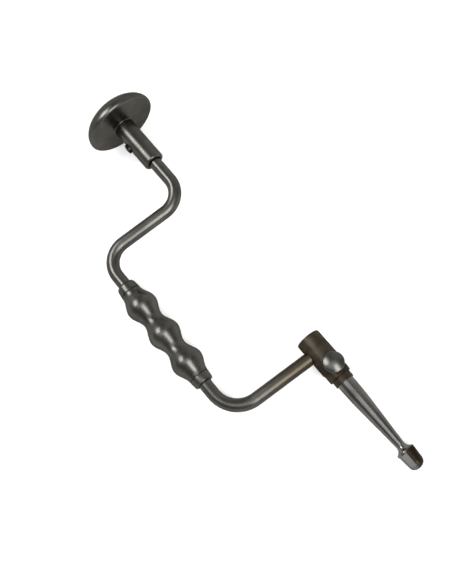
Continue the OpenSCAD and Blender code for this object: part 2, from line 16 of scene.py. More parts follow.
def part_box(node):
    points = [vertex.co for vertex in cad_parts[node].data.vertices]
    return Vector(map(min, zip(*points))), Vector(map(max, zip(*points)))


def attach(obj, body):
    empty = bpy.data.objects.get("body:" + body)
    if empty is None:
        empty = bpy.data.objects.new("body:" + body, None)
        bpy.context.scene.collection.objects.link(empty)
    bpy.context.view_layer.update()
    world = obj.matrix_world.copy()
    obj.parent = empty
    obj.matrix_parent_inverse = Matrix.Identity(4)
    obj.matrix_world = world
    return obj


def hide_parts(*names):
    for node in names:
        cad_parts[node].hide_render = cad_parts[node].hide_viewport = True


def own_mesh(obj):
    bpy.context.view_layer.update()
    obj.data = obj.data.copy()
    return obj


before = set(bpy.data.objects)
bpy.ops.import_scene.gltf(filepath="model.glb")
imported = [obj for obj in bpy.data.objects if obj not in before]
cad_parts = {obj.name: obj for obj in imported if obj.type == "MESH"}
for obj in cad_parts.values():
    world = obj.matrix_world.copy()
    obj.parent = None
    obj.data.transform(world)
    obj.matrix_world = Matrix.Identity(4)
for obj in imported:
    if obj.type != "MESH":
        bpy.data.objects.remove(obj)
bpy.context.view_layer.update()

log = logging.getLogger("cranial_drill")

MM = 0.001
# Points round an ordinary ring, and round a ring of a small piece.
AXIS_SIDES = 160
SMALL_SIDES = 96
# Edges that turn by more than this are shaded as sharp.
SHARP_ANGLE = math.radians(28)
# Radius of the last ring at a closed end, inside which a fan closes the surface.
CENTRE_R = 0.1 * MM
# Points of an outline that are closer than this count as one.
SAME_PLACE = 1e-7
# The least length that another one is divided by.
NOT_ZERO = 1e-6
# Places of the two colours among a Mix node's inputs, and of their mix among its outputs.
MIX_COLOURS = (6, 7)
MIX_RESULT = 2
# A pattern that isn't squeezed in any direction.
EVEN = (1.0, 1.0, 1.0)


class Body(Enum):
    """The bodies that move against each other."""

    CRANK = "crank"
    PALM_PAD = "palm_pad"
    GRIP = "grip"
    CATCH = "catch"


class Slot(Enum):
    """The record's material slots."""

    SATIN_STEEL = "satin_steel"
    BROWN_STEEL = "brown_steel"
    BIT_STEEL = "bit_steel"
    KNOB_STEEL = "knob_steel"
    DARK_STEEL = "dark_steel"
    HARD_STEEL = "hard_steel"
    BRONZE = "bronze"


def arc(centre: tuple[float, float], radius: float, first: float, last: float, steps: int = 12) -> np.ndarray:
    """Points on a round stretch of an outline.

    The point at angle a is the centre plus radius times (cos a, sin a).

    Args:
        centre: Centre of the stretch, as (distance from the axis, x).
        radius: Radius of the stretch.
        first: Angle of the first point, in degrees.
        last: Angle of the last point, in degrees.
        steps: Number of equal steps.

    Returns:
        The points, as an array of (distance from the axis, x).
    """
    angles = np.radians(np.linspace(first, last, steps + 1))
    return np.asarray(centre) + radius * np.column_stack([np.cos(angles), np.sin(angles)])


def line(start: tuple[float, float], end: tuple[float, float], steps: int = 1) -> np.ndarray:
    """Points on a straight stretch of an outline, in equal steps from start to end."""
    return np.linspace(start, end, steps + 1)


def outline(*stretches: np.ndarray) -> np.ndarray:
    """Joins stretches into one outline and drops points that repeat the one before.

    Args:
        stretches: Arrays of points, in order.

    Returns:
        The outline's points, as an array of (distance from the axis, x).
    """
    points = np.vstack([np.atleast_2d(stretch) for stretch in stretches])
    apart = np.linalg.norm(np.diff(points, axis=0), axis=1) > SAME_PLACE
    return points[np.concatenate([[True], apart])]


def ring_angles(sides: int) -> np.ndarray:
    """Equal angles once round the axis, from straight up towards +Y."""
    return np.arange(sides) * 2 * math.pi / sides


def turned_grid(profile: np.ndarray, sides: int, axis_y: float = 0.0) -> np.ndarray:
    """A surface of revolution about X.

    The point at profile step i and angle a is (x_i, axis_y + r_i sin a, r_i cos a).

    Args:
        profile: Points as (distance from the axis, x).
        sides: Number of points in each ring.
        axis_y: Where the axis lies along Y.

    Returns:
        The grid, as an array of rings by sides by 3.
    """
    angles = ring_angles(sides)
    radius = profile[:, :1]
    x = np.repeat(profile[:, 1:], sides, axis=1)
    return np.stack([x, axis_y + radius * np.sin(angles), radius * np.cos(angles)], axis=2)


def grid_faces(rings: int, sides: int, closed: bool) -> np.ndarray:
    """The four corners of every cell of a grid whose rings are closed.

    Args:
        rings: Number of rings.
        sides: Number of points in each ring.
        closed: True where the last ring joins the first.

    Returns:
        The corners' numbers, four to a row.
    """
    index = np.arange(rings * sides).reshape(rings, sides)
    if closed:
        index = np.vstack([index, index[:1]])
    near, far = index[:-1], index[1:]
    return np.stack([near, np.roll(near, -1, 1), np.roll(far, -1, 1), far], axis=2).reshape(-1, 4)


def end_fan(ring: np.ndarray, pole: int) -> np.ndarray:
    """Triangles from one ring of vertices to a single vertex at its middle."""
    return np.column_stack([np.roll(ring, -1), ring, np.full(len(ring), pole)])


def signed_volume(points: np.ndarray, triangles: np.ndarray) -> float:
    """The volume inside a closed surface, negative where its faces point inwards."""
    a, b, c = (points[triangles[:, k]] for k in range(3))
    return float(np.einsum("ij,ij->i", a, np.cross(b, c)).sum() / 6)


def surface_object(name: str, grid: np.ndarray, closed: bool = False) -> bpy.types.Object:
    """Makes a closed mesh from a grid of points.

    Rings become bands of four-sided faces. Where the grid isn't closed on itself, each end
    ring is closed by a fan to its own middle. All faces are turned outwards.

    Args:
        name: Name of the object.
        grid: Array of rings by sides by 3, in the row frame.
        closed: True where the last ring joins the first.

    Returns:
        The object, which is at the origin with its place in its mesh.
    """
    rings, sides, _ = grid.shape
    points = grid.reshape(-1, 3)
    quads = grid_faces(rings, sides, closed)
    fans = np.empty((0, 3), int)
    if not closed:
        poles = np.array([grid[0].mean(axis=0), grid[-1].mean(axis=0)])
        first = end_fan(np.arange(sides), len(points))
        last = end_fan(np.arange(len(points) - sides, len(points))[::-1], len(points) + 1)
        points = np.vstack([points, poles])
        fans = np.vstack([first, last])
    triangles = np.vstack([quads[:, [0, 1, 2]], quads[:, [0, 2, 3]], fans])
    if signed_volume(points, triangles) < 0:
        quads, fans = quads[:, ::-1], fans[:, ::-1]
    mesh = bpy.data.meshes.new(name)
    mesh.from_pydata(points.tolist(), [], quads.tolist() + fans.tolist())
    mesh.shade_smooth()
    mesh.set_sharp_from_angle(angle=SHARP_ANGLE)
    made = bpy.data.objects.new(name, mesh)
    bpy.context.scene.collection.objects.link(made)
    return made


def turned_about(grid: np.ndarray, outward: np.ndarray, at_x: float) -> np.ndarray:
    """Carries a surface that was turned about X onto an axis that points outwards from X.

    The old x becomes the distance along the outward direction, from the point at_x.

    Args:
        grid: A grid of points turned about X.
        outward: Unit vector square to X.
        at_x: Where the new axis leaves the turning axis.

    Returns:
        The grid about its new axis.
    """
    along = np.array([1.0, 0.0, 0.0])
    side = np.cross(outward, along)
    new = grid[..., :1] * outward + grid[..., 1:2] * side + grid[..., 2:] * along
    return new + np.array([at_x, 0, 0])


def noise(tree: bpy.types.NodeTree, coordinates: bpy.types.NodeSocket, size: float,
          stretch: tuple[float, float, float], detail: float) -> bpy.types.NodeSocket:
    """A noise pattern.

    Args:
        tree: The node tree to build in.
        coordinates: The socket that says where a point lies.
        size: About how large the pattern's features are, in metres.
        stretch: How much it is squeezed along X, Y and Z.
        detail: How many finer layers it has.

    Returns:
        The socket that holds the pattern, from 0 to 1.
    """
    mapping = tree.nodes.new("ShaderNodeMapping")
    mapping.inputs["Scale"].default_value = [squeeze / size for squeeze in stretch]
    pattern = tree.nodes.new("ShaderNodeTexNoise")
    pattern.inputs["Scale"].default_value = 1.0
    pattern.inputs["Detail"].default_value = detail
    tree.links.new(coordinates, mapping.inputs["Vector"])
    tree.links.new(mapping.outputs["Vector"], pattern.inputs["Vector"])
    return pattern.outputs["Fac"]


def ranged(tree: bpy.types.NodeTree, value: bpy.types.NodeSocket, limits: tuple[float, float],
           results: tuple[float, float]) -> bpy.types.NodeSocket:
    """Carries a value from one range to another, and holds it at the ends.

    Args:
        tree: The node tree to build in.
        value: The socket that holds the value.
        limits: The two ends of its range.
        results: What they become.

    Returns:
        The socket that holds the result.
    """
    node = tree.nodes.new("ShaderNodeMapRange")
    node.inputs["From Min"].default_value, node.inputs["From Max"].default_value = limits
    node.inputs["To Min"].default_value, node.inputs["To Max"].default_value = results
    tree.links.new(value, node.inputs["Value"])
    return node.outputs["Result"]


def multiplied(tree: bpy.types.NodeTree, value: bpy.types.NodeSocket, factor: float | bpy.types.NodeSocket,
               added: float | bpy.types.NodeSocket = 0.0) -> bpy.types.NodeSocket:
    """Multiplies a value, and adds to the product.

    Args:
        tree: The node tree to build in.
        value: The socket that holds the value.
        factor: What it is multiplied by, as a number or a socket.
        added: What is added, as a number or a socket.

    Returns:
        The socket that holds the result.
    """
    node = tree.nodes.new("ShaderNodeMath")
    node.operation = "MULTIPLY_ADD"
    tree.links.new(value, node.inputs[0])
    for socket, given in zip(node.inputs[1:3], (factor, added)):
        if isinstance(given, bpy.types.NodeSocket):
            tree.links.new(given, socket)
        else:
            socket.default_value = given
    return node.outputs[0]


def mixed(tree: bpy.types.NodeTree, factor: bpy.types.NodeSocket,
          first: tuple[float, float, float] | bpy.types.NodeSocket,
          second: tuple[float, float, float] | bpy.types.NodeSocket) -> bpy.types.NodeSocket:
    """Mixes two colours.

    Args:
        tree: The node tree to build in.
        factor: The socket that says how much of the second colour there is.
        first: The first colour, as three numbers or a socket.
        second: The second colour, as three numbers or a socket.

    Returns:
        The socket that holds the mix.
    """
    node = tree.nodes.new("ShaderNodeMix")
    node.data_type = "RGBA"
    tree.links.new(factor, node.inputs["Factor"])
    for place, colour in zip(MIX_COLOURS, (first, second)):
        if isinstance(colour, bpy.types.NodeSocket):
            tree.links.new(colour, node.inputs[place])
        else:
            node.inputs[place].default_value = (*colour, 1)
    return node.outputs[MIX_RESULT]


def bumped(tree: bpy.types.NodeTree, height: bpy.types.NodeSocket, distance: float,
           under: bpy.types.NodeSocket | None) -> bpy.types.NodeSocket:
    """A normal that a height pattern roughens.

    Args:
        tree: The node tree to build in.
        height: The socket that holds the pattern.
        distance: Height of its relief, in metres.
        under: The normal that it lies on, or None for the surface's own.

    Returns:
        The socket that holds the normal.
    """
    node = tree.nodes.new("ShaderNodeBump")
    node.inputs["Strength"].default_value = 1.0
    node.inputs["Distance"].default_value = distance
    tree.links.new(height, node.inputs["Height"])
    if under is not None:
        tree.links.new(under, node.inputs["Normal"])
    return node.outputs["Normal"]


@dataclass(frozen=True)
class Finish:
    """A worn metal: two tones in soft blotches, darker stains, fine grain and turning marks.

    Attributes:
        slot: The record's slot that it stands for.
        low: Darker tone.
        high: Lighter tone.
        stain: Colour of the stains.
        stain_share: How much of the surface the stains take, from 0 to 1.
        stain_from: Level of the clouds' pattern where stains begin, at a share of 0.
        stain_gain: How far a share of 1 brings that level down.
        stain_edge: Rise of the pattern over which a stain sets in.
        stain_cover: How much of the tone a full stain covers.
        smooth: Lowest roughness.
        rough: Highest roughness, apart from dirt.
        blotch: Size of the blotches, in metres.
        cloud: Size of the clouds that carry the stains, in blotches.
        tone_range: Levels of the blotches' pattern that have the low and the high tone.
        grain: Height of the fine grain, in metres.
        grain_size: Size of the fine grain, in metres.
        grain_range: Levels of the grain's pattern that are smooth and rough.
        marks: Height of the marks round the axis, in metres.
        mark_size: Size of the marks along the axis, in metres.
        mark_stretch: How much the marks' pattern is squeezed along X, Y and Z.
        edge: Tint of what it mirrors at its edges.
        dirt_and_shade_past: Where the darker patches begin, as (x, y), or None for a piece without them. They
            are dirt on the rod, and dirt with painted shade on the bit's head.
        dirt_and_shade_tone: Colour of the dirt and of the painted shade.
        dirt_and_shade_edge: Length over which the dirt and painted shade set in, in metres.
        dirt_dullness: Roughness that full dirt adds.
        patch_range: Levels of the blotches' pattern where the dirt and painted shade are thinnest and
            thickest.
        patch_cover: How much of the metal the dirt and painted shade cover there.
        variant: What tells its material from the slot's plain one.
    """

    slot: Slot
    low: tuple[float, float, float]
    high: tuple[float, float, float]
    stain: tuple[float, float, float]
    stain_share: float = 0.2
    stain_from: float = 0.72
    stain_gain: float = 0.3
    stain_edge: float = 0.09
    stain_cover: float = 0.85
    smooth: float = 0.26
    rough: float = 0.38
    blotch: float = 0.012
    cloud: float = 2.7
    tone_range: tuple[float, float] = (0.36, 0.64)
    grain: float = 0.00002
    grain_size: float = 0.0006
    grain_range: tuple[float, float] = (0.3, 0.7)
    marks: float = 0.00001
    mark_size: float = 0.00035
    mark_stretch: tuple[float, float, float] = (1.0, 0.03, 0.03)
    edge: tuple[float, float, float] = (0.45, 0.44, 0.41)
    dirt_and_shade_past: tuple[float, float] | None = None
    dirt_and_shade_tone: tuple[float, float, float] = (0.022, 0.016, 0.011)
    dirt_and_shade_edge: float = 1.2 * MM
    dirt_dullness: float = 0.3
    patch_range: tuple[float, float] = (0.3, 0.55)
    patch_cover: tuple[float, float] = (0.6, 1.0)
    variant: str = ""

    def dirt_and_shade(self, tree: bpy.types.NodeTree, where: bpy.types.NodeSocket,
             blotches: bpy.types.NodeSocket) -> bpy.types.NodeSocket:
        """How much dirt and painted shade lie on a place: none before dirt_and_shade_past, and patchy beyond
        it.

        Args:
            tree: The node tree to build in.
            where: The socket that says where a point lies.
            blotches: The socket that holds the blotches' pattern.

        Returns:
            The socket that holds the amount, from 0 to 1.
        """
        parts = tree.nodes.new("ShaderNodeSeparateXYZ")
        tree.links.new(where, parts.inputs["Vector"])
        amount = ranged(tree, blotches, self.patch_range, self.patch_cover)
        for output, begin in zip(("X", "Y"), self.dirt_and_shade_past):
            share = ranged(tree, parts.outputs[output], (begin, begin + self.dirt_and_shade_edge), (0.0, 1.0))
            amount = multiplied(tree, amount, share)
        return amount

    def material(self) -> bpy.types.Material:
        """Builds the material, unless it has been built before.

        Returns:
            The material.
        """
        name = "finish_" + self.slot.value + self.variant
        if name in bpy.data.materials:
            return bpy.data.materials[name]
        made = bpy.data.materials.new(name)
        made.use_nodes = True
        tree = made.node_tree
        tree.nodes.clear()
        output = tree.nodes.new("ShaderNodeOutputMaterial")
        shader = tree.nodes.new("ShaderNodeBsdfPrincipled")
        where = tree.nodes.new("ShaderNodeTexCoord").outputs["Object"]
        blotches = noise(tree, where, self.blotch, EVEN, detail=5)
        clouds = noise(tree, where, self.blotch * self.cloud, EVEN, detail=8)
        fine = noise(tree, where, self.grain_size, EVEN, detail=3)
        marks = noise(tree, where, self.mark_size, self.mark_stretch, detail=2)
        tone = mixed(tree, ranged(tree, blotches, self.tone_range, (0, 1)), self.low, self.high)
        begin = self.stain_from - self.stain_gain * self.stain_share
        stained = ranged(tree, clouds, (begin, begin + self.stain_edge), (0, self.stain_cover))
        colour = mixed(tree, stained, tone, self.stain)
        dull = ranged(tree, fine, self.grain_range, (self.smooth, self.rough))
        # Past its start the colour darkens: dirt on the rod, and dirt with painted shade on the bit's head.
        if self.dirt_and_shade_past is not None:
            amount = self.dirt_and_shade(tree, where, blotches)
            colour = mixed(tree, amount, colour, self.dirt_and_shade_tone)
            dull = multiplied(tree, amount, self.dirt_dullness, dull)
        normal = bumped(tree, fine, self.grain, None)
        normal = bumped(tree, marks, self.marks, normal)
        shader.inputs["Metallic"].default_value = 1.0
        shader.inputs["Specular Tint"].default_value = (*self.edge, 1)
        tree.links.new(colour, shader.inputs["Base Color"])
        tree.links.new(dull, shader.inputs["Roughness"])
        tree.links.new(normal, shader.inputs["Normal"])
        tree.links.new(shader.outputs["BSDF"], output.inputs["Surface"])
        return made

    def dress(self, piece: bpy.types.Object) -> None:
        """Gives a piece this finish.

        Args:
            piece: The piece, whose own materials go.
        """
        piece.data.materials.clear()
        piece.data.materials.append(self.material())


FINISHES = {
    finish.slot: finish
    for finish in (
        Finish(Slot.SATIN_STEEL, low=(0.06, 0.058, 0.053), high=(0.08, 0.078, 0.071),
               stain=(0.04, 0.037, 0.032), smooth=0.26, rough=0.34),
        Finish(Slot.BROWN_STEEL, low=(0.038, 0.032, 0.023), high=(0.064, 0.055, 0.04),
               stain=(0.028, 0.02, 0.014), stain_share=0.5, smooth=0.34, rough=0.5, blotch=0.007,
               grain=0.00003),
        # The head is darker and duller on its +Y side: partly brown dirt, partly painted shade.
        Finish(Slot.BIT_STEEL, low=(0.104, 0.101, 0.095), high=(0.135, 0.131, 0.124),
               stain=(0.062, 0.057, 0.05), smooth=0.16, rough=0.24,
               dirt_and_shade_past=(102.5 * MM, -1.3 * MM)),
        Finish(Slot.KNOB_STEEL, low=(0.068, 0.068, 0.062), high=(0.085, 0.085, 0.079),
               stain=(0.048, 0.046, 0.04), smooth=0.25, rough=0.33),
        Finish(Slot.DARK_STEEL, low=(0.02, 0.019, 0.017), high=(0.035, 0.033, 0.03),
               stain=(0.015, 0.012, 0.01)),
        Finish(Slot.HARD_STEEL, low=(0.3, 0.3, 0.29), high=(0.36, 0.36, 0.35),
               stain=(0.2, 0.19, 0.17), smooth=0.15, rough=0.25),
        Finish(Slot.BRONZE, low=(0.3, 0.19, 0.07), high=(0.4, 0.27, 0.11),
               stain=(0.18, 0.1, 0.04)),
    )
}

# The rod's steel, which turns brown by degrees towards the chuck.
ROD_FINISH = replace(FINISHES[Slot.SATIN_STEEL], variant="_rod", dirt_and_shade_past=(-30 * MM, -62 * MM),
                     dirt_and_shade_tone=(0.046, 0.039, 0.028), dirt_and_shade_edge=40 * MM, dirt_dullness=0.04)


@dataclass
class Assembly:
    """A group of pieces that are built and dressed together.

    Attributes:
        made: The new pieces, in the order in which they were built.
    """

    made: list[bpy.types.Object] = field(default_factory=list)

    def finish_piece(self, piece: bpy.types.Object, node: str, body: Body, slot: Slot) -> None:
        """Dresses a new piece, seats it on its body and lets it stand for its CAD node.

        Args:
            piece: The new piece, in its place.
            node: The CAD node that it stands for.
            body: The body that it moves with.
            slot: Its finish.
        """
        FINISHES[slot].dress(piece)
        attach(piece, body.value)
        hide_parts(node)
        self.made.append(piece)
        log.info("%s stands for %s, %d faces", piece.name, node, len(piece.data.polygons))

    def dress_node(self, node: str, slot: Slot) -> None:
        """Gives a CAD node that stays as it is its finish."""
        FINISHES[slot].dress(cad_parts[node])
        log.info("%s keeps its own solid", node)


def extent(node: str) -> tuple[float, float, float]:
    """The first x, the last x and the outer radius of a turned CAD node."""
    low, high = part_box(node)
    return low.x, high.x, (high.z - low.z) / 2


@dataclass
class PalmPad(Assembly):
    """The domed pad, the stem under it and the screw that keeps the spindle in.

    Attributes:
        dome_height: Height of the dome above the pad's widest place.
        first_sweep: Angle from the dome's top at which its outline begins, in degrees.
        dome_steps: Steps of the dome's outline.
        rim_round: Radius of the rounding under the rim.
        fillet: Radius of the fillet between the pad and the stem.
        socket_centre_r: Radius of the last ring on the floor of the pad's socket.
        pad_sides: Points round the pad.
        stem_round: Radius of the rounding at the stem's mouth.
        mouth_r: Radius of the hole in the stem's lip.
        chamfer: Chamfer of that hole.
        bore_r: Radius of the stem's bore.
        lip: Thickness of the lip.
        spigot_r: Radius of the stem's end inside the pad.
        stem_sides: Points round the stem.
        screw_x: Where the screw's axis crosses the turning axis.
        screw_turn: Angle of the screw from straight up, towards -Y.
        spotface_r: Radius of the flat under the screw's head.
        fine_reach: Half of the stem's finely stepped stretch, in radii of the flat.
        head_r: Radius of the screw's head.
        head_proud: How far the head's top stands out of the stem.
        head_rise: Height of the head's dome.
        head_edge: Height of the first step down the head's side.
        head_start: Radius of the head's first ring, as a share of the head's radius.
        head_steps: Steps of the head's outline.
        slot_depth: Depth of the slot across the head.
        slot_half: Half of the slot's width.
        shank_r: Radius of the screw's shank.
        shank_end: Distance from the turning axis to the shank's end.
        point_r: Radius of the screw's point.
        point_end: Distance from the turning axis to the point's end.
        screw_sides: Points round the screw.
    """

    dome_height: float = 14.8 * MM
    first_sweep: float = 1.0
    dome_steps: int = 71
    rim_round: float = 2.2 * MM
    fillet: float = 0.5 * MM
    socket_centre_r: float = 0.2 * MM
    pad_sides: int = 200
    stem_round: float = 1.5 * MM
    mouth_r: float = 5.5 * MM
    chamfer: float = 0.3 * MM
    bore_r: float = 6.2 * MM
    lip: float = 2.0 * MM
    spigot_r: float = 7.2 * MM
    stem_sides: int = 256
    screw_x: float = -202.4 * MM
    screw_turn: float = math.radians(84)
    spotface_r: float = 3.9 * MM
    fine_reach: float = 1.1
    head_r: float = 3.8 * MM
    head_proud: float = 2.1 * MM
    head_rise: float = 0.7 * MM
    head_edge: float = 0.1 * MM
    head_start: float = 0.02
    head_steps: int = 47
    slot_depth: float = 0.9 * MM
    slot_half: float = 0.45 * MM
    shank_r: float = 2 * MM
    shank_end: float = 5.6 * MM
    point_r: float = 1.6 * MM
    point_end: float = 3.9 * MM
    screw_sides: int = 192

    def pad(self) -> bpy.types.Object:
        """The pad: half an ellipse for the dome, a rounded rim, a flat cone and a fillet below.

        Returns:
            The pad.
        """
        apex_x, seat_x, radius = extent("pad_dome")
        stem_r = extent("pad_stem")[2]
        rim_x = apex_x + self.dome_height
        sweep = np.radians(np.linspace(self.first_sweep, 90, self.dome_steps + 1))
        dome = np.column_stack([radius * np.sin(sweep), rim_x - self.dome_height * np.cos(sweep)])
        rim = arc((radius - self.rim_round, rim_x), self.rim_round, 0, 90, steps=10)
        foot = (stem_r + self.fillet, seat_x - self.fillet)
        under = line(tuple(rim[-1]), foot, steps=8)
        fillet = arc((stem_r + self.fillet, seat_x), self.fillet, 270, 180)
        floor_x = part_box("pad_stem")[0].x
        profile = outline(
            dome, rim, under, fillet,
            line((stem_r, seat_x), (self.spigot_r, seat_x)),
            line((self.spigot_r, seat_x), (self.spigot_r, floor_x)),
            line((self.spigot_r, floor_x), (self.socket_centre_r, floor_x)),
        )
        return surface_object("palm_pad_dome", turned_grid(profile, self.pad_sides))

    def stem(self) -> bpy.types.Object:
        """The stem: a tube with a rounded mouth, a lip inside it and a flat for the screw.

        Where a point lies within the flat's circle, seen along the screw, its distance from
        the axis is cut back so that it lies on the flat.

        Returns:
            The stem.
        """
        end_x, mouth_x, radius = extent("pad_stem")
        seat_x = extent("pad_dome")[1]
        lip_x = mouth_x - self.lip
        fine = self.spotface_r * self.fine_reach
        flat_from, flat_to = self.screw_x - fine, self.screw_x + fine
        profile = outline(
            line((self.mouth_r, lip_x), (self.mouth_r, mouth_x - self.chamfer)),
            line((self.mouth_r + self.chamfer, mouth_x), (radius - self.stem_round, mouth_x), steps=2),
            arc((radius - self.stem_round, mouth_x - self.stem_round), self.stem_round, 90, 0),
            line((radius, mouth_x - self.stem_round), (radius, flat_to), steps=12),
            line((radius, flat_to), (radius, flat_from), steps=90),
            line((radius, flat_from), (radius, seat_x), steps=8),
            line((self.spigot_r, seat_x), (self.spigot_r, end_x)),
            line((self.bore_r, end_x), (self.bore_r, lip_x)),
        )
        grid = turned_grid(profile, self.stem_sides)
        x, y, z = np.moveaxis(grid, 2, 0)
        reach = np.hypot(y, z)
        angle = np.arctan2(y, z) + self.screw_turn
        side, out = reach * np.sin(angle), reach * np.cos(angle)
        flat_out = math.sqrt(radius ** 2 - self.spotface_r ** 2)
        on_flat = (side ** 2 + (x - self.screw_x) ** 2 < self.spotface_r ** 2) & (out > flat_out)
        scale = np.where(on_flat, flat_out / np.maximum(out, NOT_ZERO), 1.0)
        grid[..., 1] *= scale
        grid[..., 2] *= scale
        return surface_object("palm_stem", grid, closed=True)

    def screw(self) -> bpy.types.Object:
        """The retaining screw: a low dome with a slot across it, on a plain shank.

        The head's height falls as a ball's does from its top. Within the slot, the height
        is cut back to the slot's floor.

        Returns:
            The screw.
        """
        stem_r = extent("pad_stem")[2]
        flat_out = math.sqrt(stem_r ** 2 - self.spotface_r ** 2)
        top = stem_r + self.head_proud
        ball = (self.head_r ** 2 + self.head_rise ** 2) / (2 * self.head_rise)
        distance = np.linspace(self.head_start, 1, self.head_steps + 1) * self.head_r
        dome = np.column_stack([distance, top - ball + np.sqrt(ball ** 2 - distance ** 2)])
        profile = outline(
            dome,
            line((self.head_r, top - self.head_rise - self.head_edge), (self.head_r, flat_out)),
            line((self.shank_r, flat_out), (self.shank_r, self.shank_end)),
            line((self.point_r, self.shank_end), (self.point_r, self.point_end)),
            line((self.point_r, self.point_end), (CENTRE_R, self.point_end)),
        )
        grid = turned_grid(profile, self.screw_sides)
        slot_floor = top - self.slot_depth
        in_slot = (np.abs(grid[..., 1]) < self.slot_half) & (grid[..., 0] > slot_floor)
        grid[..., 0] = np.where(in_slot, slot_floor, grid[..., 0])
        outward = np.array([0.0, -math.sin(self.screw_turn), math.cos(self.screw_turn)])
        return surface_object("retaining_screw_head", turned_about(grid, outward, self.screw_x))

    def build(self) -> None:
        """Builds the pad's pieces and dresses what it carries inside."""
        self.finish_piece(self.pad(), "pad_dome", Body.PALM_PAD, Slot.SATIN_STEEL)
        self.finish_piece(self.stem(), "pad_stem", Body.PALM_PAD, Slot.SATIN_STEEL)
        self.finish_piece(self.screw(), "retaining_screw", Body.PALM_PAD, Slot.DARK_STEEL)
        for node in ("upper_stem_bush", "lower_stem_bush"):
            self.dress_node(node, Slot.BRONZE)
        for node in ("thrust_seat", "thrust_ball"):
            self.dress_node(node, Slot.HARD_STEEL)


@dataclass
class CrankRod(Assembly):
    """The bent rod, from the spindle's end to its end in the chuck.

    Attributes:
        radius: Radius of the rod.
        throw: Distance between the turning axis and the grip's axis.
        lean: How far each arm leans from square to the axis.
        upper_bend: Radius of the two bends of the upper arm.
        lower_bend: Radius of the bend of the lower arm.
        upper_arm_x: Where the upper arm's line crosses the turning axis.
        lower_arm_x: Where the lower arm's line crosses the turning axis.
        spindle_x: Where the spindle ends, inside the stem.
        spindle_chamfer: Chamfer of that end.
        past_axis: How far the lower arm goes on beyond the turning axis.
        groove_depth: Depth of the groove for the retaining screw.
        groove_half: Half of the groove's width.
        groove_wall: Length of the slope at each side of the groove.
        step: Length of a step round a bend.
        fewest_steps: Least number of steps round a bend.
    """

    radius: float = 5 * MM
    throw: float = 77 * MM
    lean: float = math.radians(3.5)
    upper_bend: float = 18 * MM
    lower_bend: float = 22.5 * MM
    upper_arm_x: float = -142.2 * MM
    lower_arm_x: float = 13.1 * MM
    spindle_x: float = -220.5 * MM
    spindle_chamfer: float = 0.5 * MM
    past_axis: float = 5.5 * MM
    groove_depth: float = 1.4 * MM
    groove_half: float = 1.9 * MM
    groove_wall: float = 0.02 * MM
    step: float = 0.7 * MM
    fewest_steps: int = 4

    def bend(self, centre: tuple[float, float], radius: float, first: float, last: float) -> np.ndarray:
        """Centreline points of a bend, in steps that suit its radius, without its first point.

        Args:
            centre: Centre of the bend, as (x, y).
            radius: Radius of the centreline.
            first: Angle of the bend's first point, in radians.
            last: Angle of its last point, in radians.

        Returns:
            The points, as an array of (x, y).
        """
        steps = max(self.fewest_steps, int(radius * abs(last - first) / self.step))
        angles = np.linspace(first, last, steps + 1)[1:]
        return np.asarray(centre) + radius * np.column_stack([np.cos(angles), np.sin(angles)])

    def centreline(self) -> np.ndarray:
        """The rod's centreline in the XY plane: straight runs joined by three round bends.

        Returns:
            The points, as an array of (x, y).
        """
        upper_angle, lower_angle = math.pi / 2 + self.lean, math.pi / 2 - self.lean
        upper_reach = self.upper_bend * math.tan(upper_angle / 2)
        lower_reach = self.lower_bend * math.tan(lower_angle / 2)
        shift = self.throw * math.tan(self.lean)
        first_x = self.upper_arm_x - upper_reach
        second_x = self.upper_arm_x - shift + upper_reach
        third_x = self.lower_arm_x - shift - lower_reach
        groove_x = PalmPad.screw_x
        floor_half = self.groove_half - self.groove_wall
        spindle = [
            self.spindle_x, self.spindle_x + self.spindle_chamfer,
            groove_x - self.groove_half, groove_x - floor_half,
            groove_x + floor_half, groove_x + self.groove_half,
            first_x,
        ]
        heading = np.array([math.sin(self.lean), math.cos(self.lean)])
        end = np.array([self.lower_arm_x, 0]) + self.past_axis * heading
        return np.vstack([
            [(x, 0.0) for x in spindle],
            self.bend((first_x, -self.upper_bend), self.upper_bend, math.pi / 2, -self.lean),
            self.bend((second_x, self.upper_bend - self.throw), self.upper_bend, math.pi - self.lean,
                      1.5 * math.pi),
            self.bend((third_x, self.lower_bend - self.throw), self.lower_bend, -math.pi / 2, -self.lean),
            end,
        ])

    def rod(self) -> bpy.types.Object:
        """The rod: a circle carried along the centreline, square to it.

        The point at path step i and angle a is the path's point plus the radius times
        (cos a in the direction to the left of the path, sin a upwards). The radius drops
        in the groove that the retaining screw runs in.

        Returns:
            The rod.
        """
        path = self.centreline()
        before = np.diff(path, axis=0, prepend=path[:1] - (path[1] - path[0]))
        after = np.diff(path, axis=0, append=path[-1:] + (path[-1] - path[-2]))
        unit = [step / np.linalg.norm(step, axis=1, keepdims=True) for step in (before, after)]
        heading = unit[0] + unit[1]
        heading /= np.linalg.norm(heading, axis=1, keepdims=True)
        left = np.column_stack([-heading[:, 1], heading[:, 0], np.zeros(len(path))])
        angles = ring_angles(SMALL_SIDES)
        in_groove = np.abs(path[:, 0] - PalmPad.screw_x) < self.groove_half - self.groove_wall / 2
        radius = np.where(in_groove, self.radius - self.groove_depth, self.radius)
        radius[0] -= self.spindle_chamfer
        middle = np.column_stack([path, np.zeros(len(path))])
        ring = left[:, None] * np.cos(angles)[:, None] + np.array([0, 0, 1.0]) * np.sin(angles)[:, None]
        return surface_object("crank_rod_bar", middle[:, None] + radius[:, None, None] * ring)

    def build(self) -> None:
        """Builds the rod, whose steel turns brown towards the chuck."""
        rod = self.rod()
        self.finish_piece(rod, "crank_rod", Body.CRANK, Slot.SATIN_STEEL)
        ROD_FINISH.dress(rod)


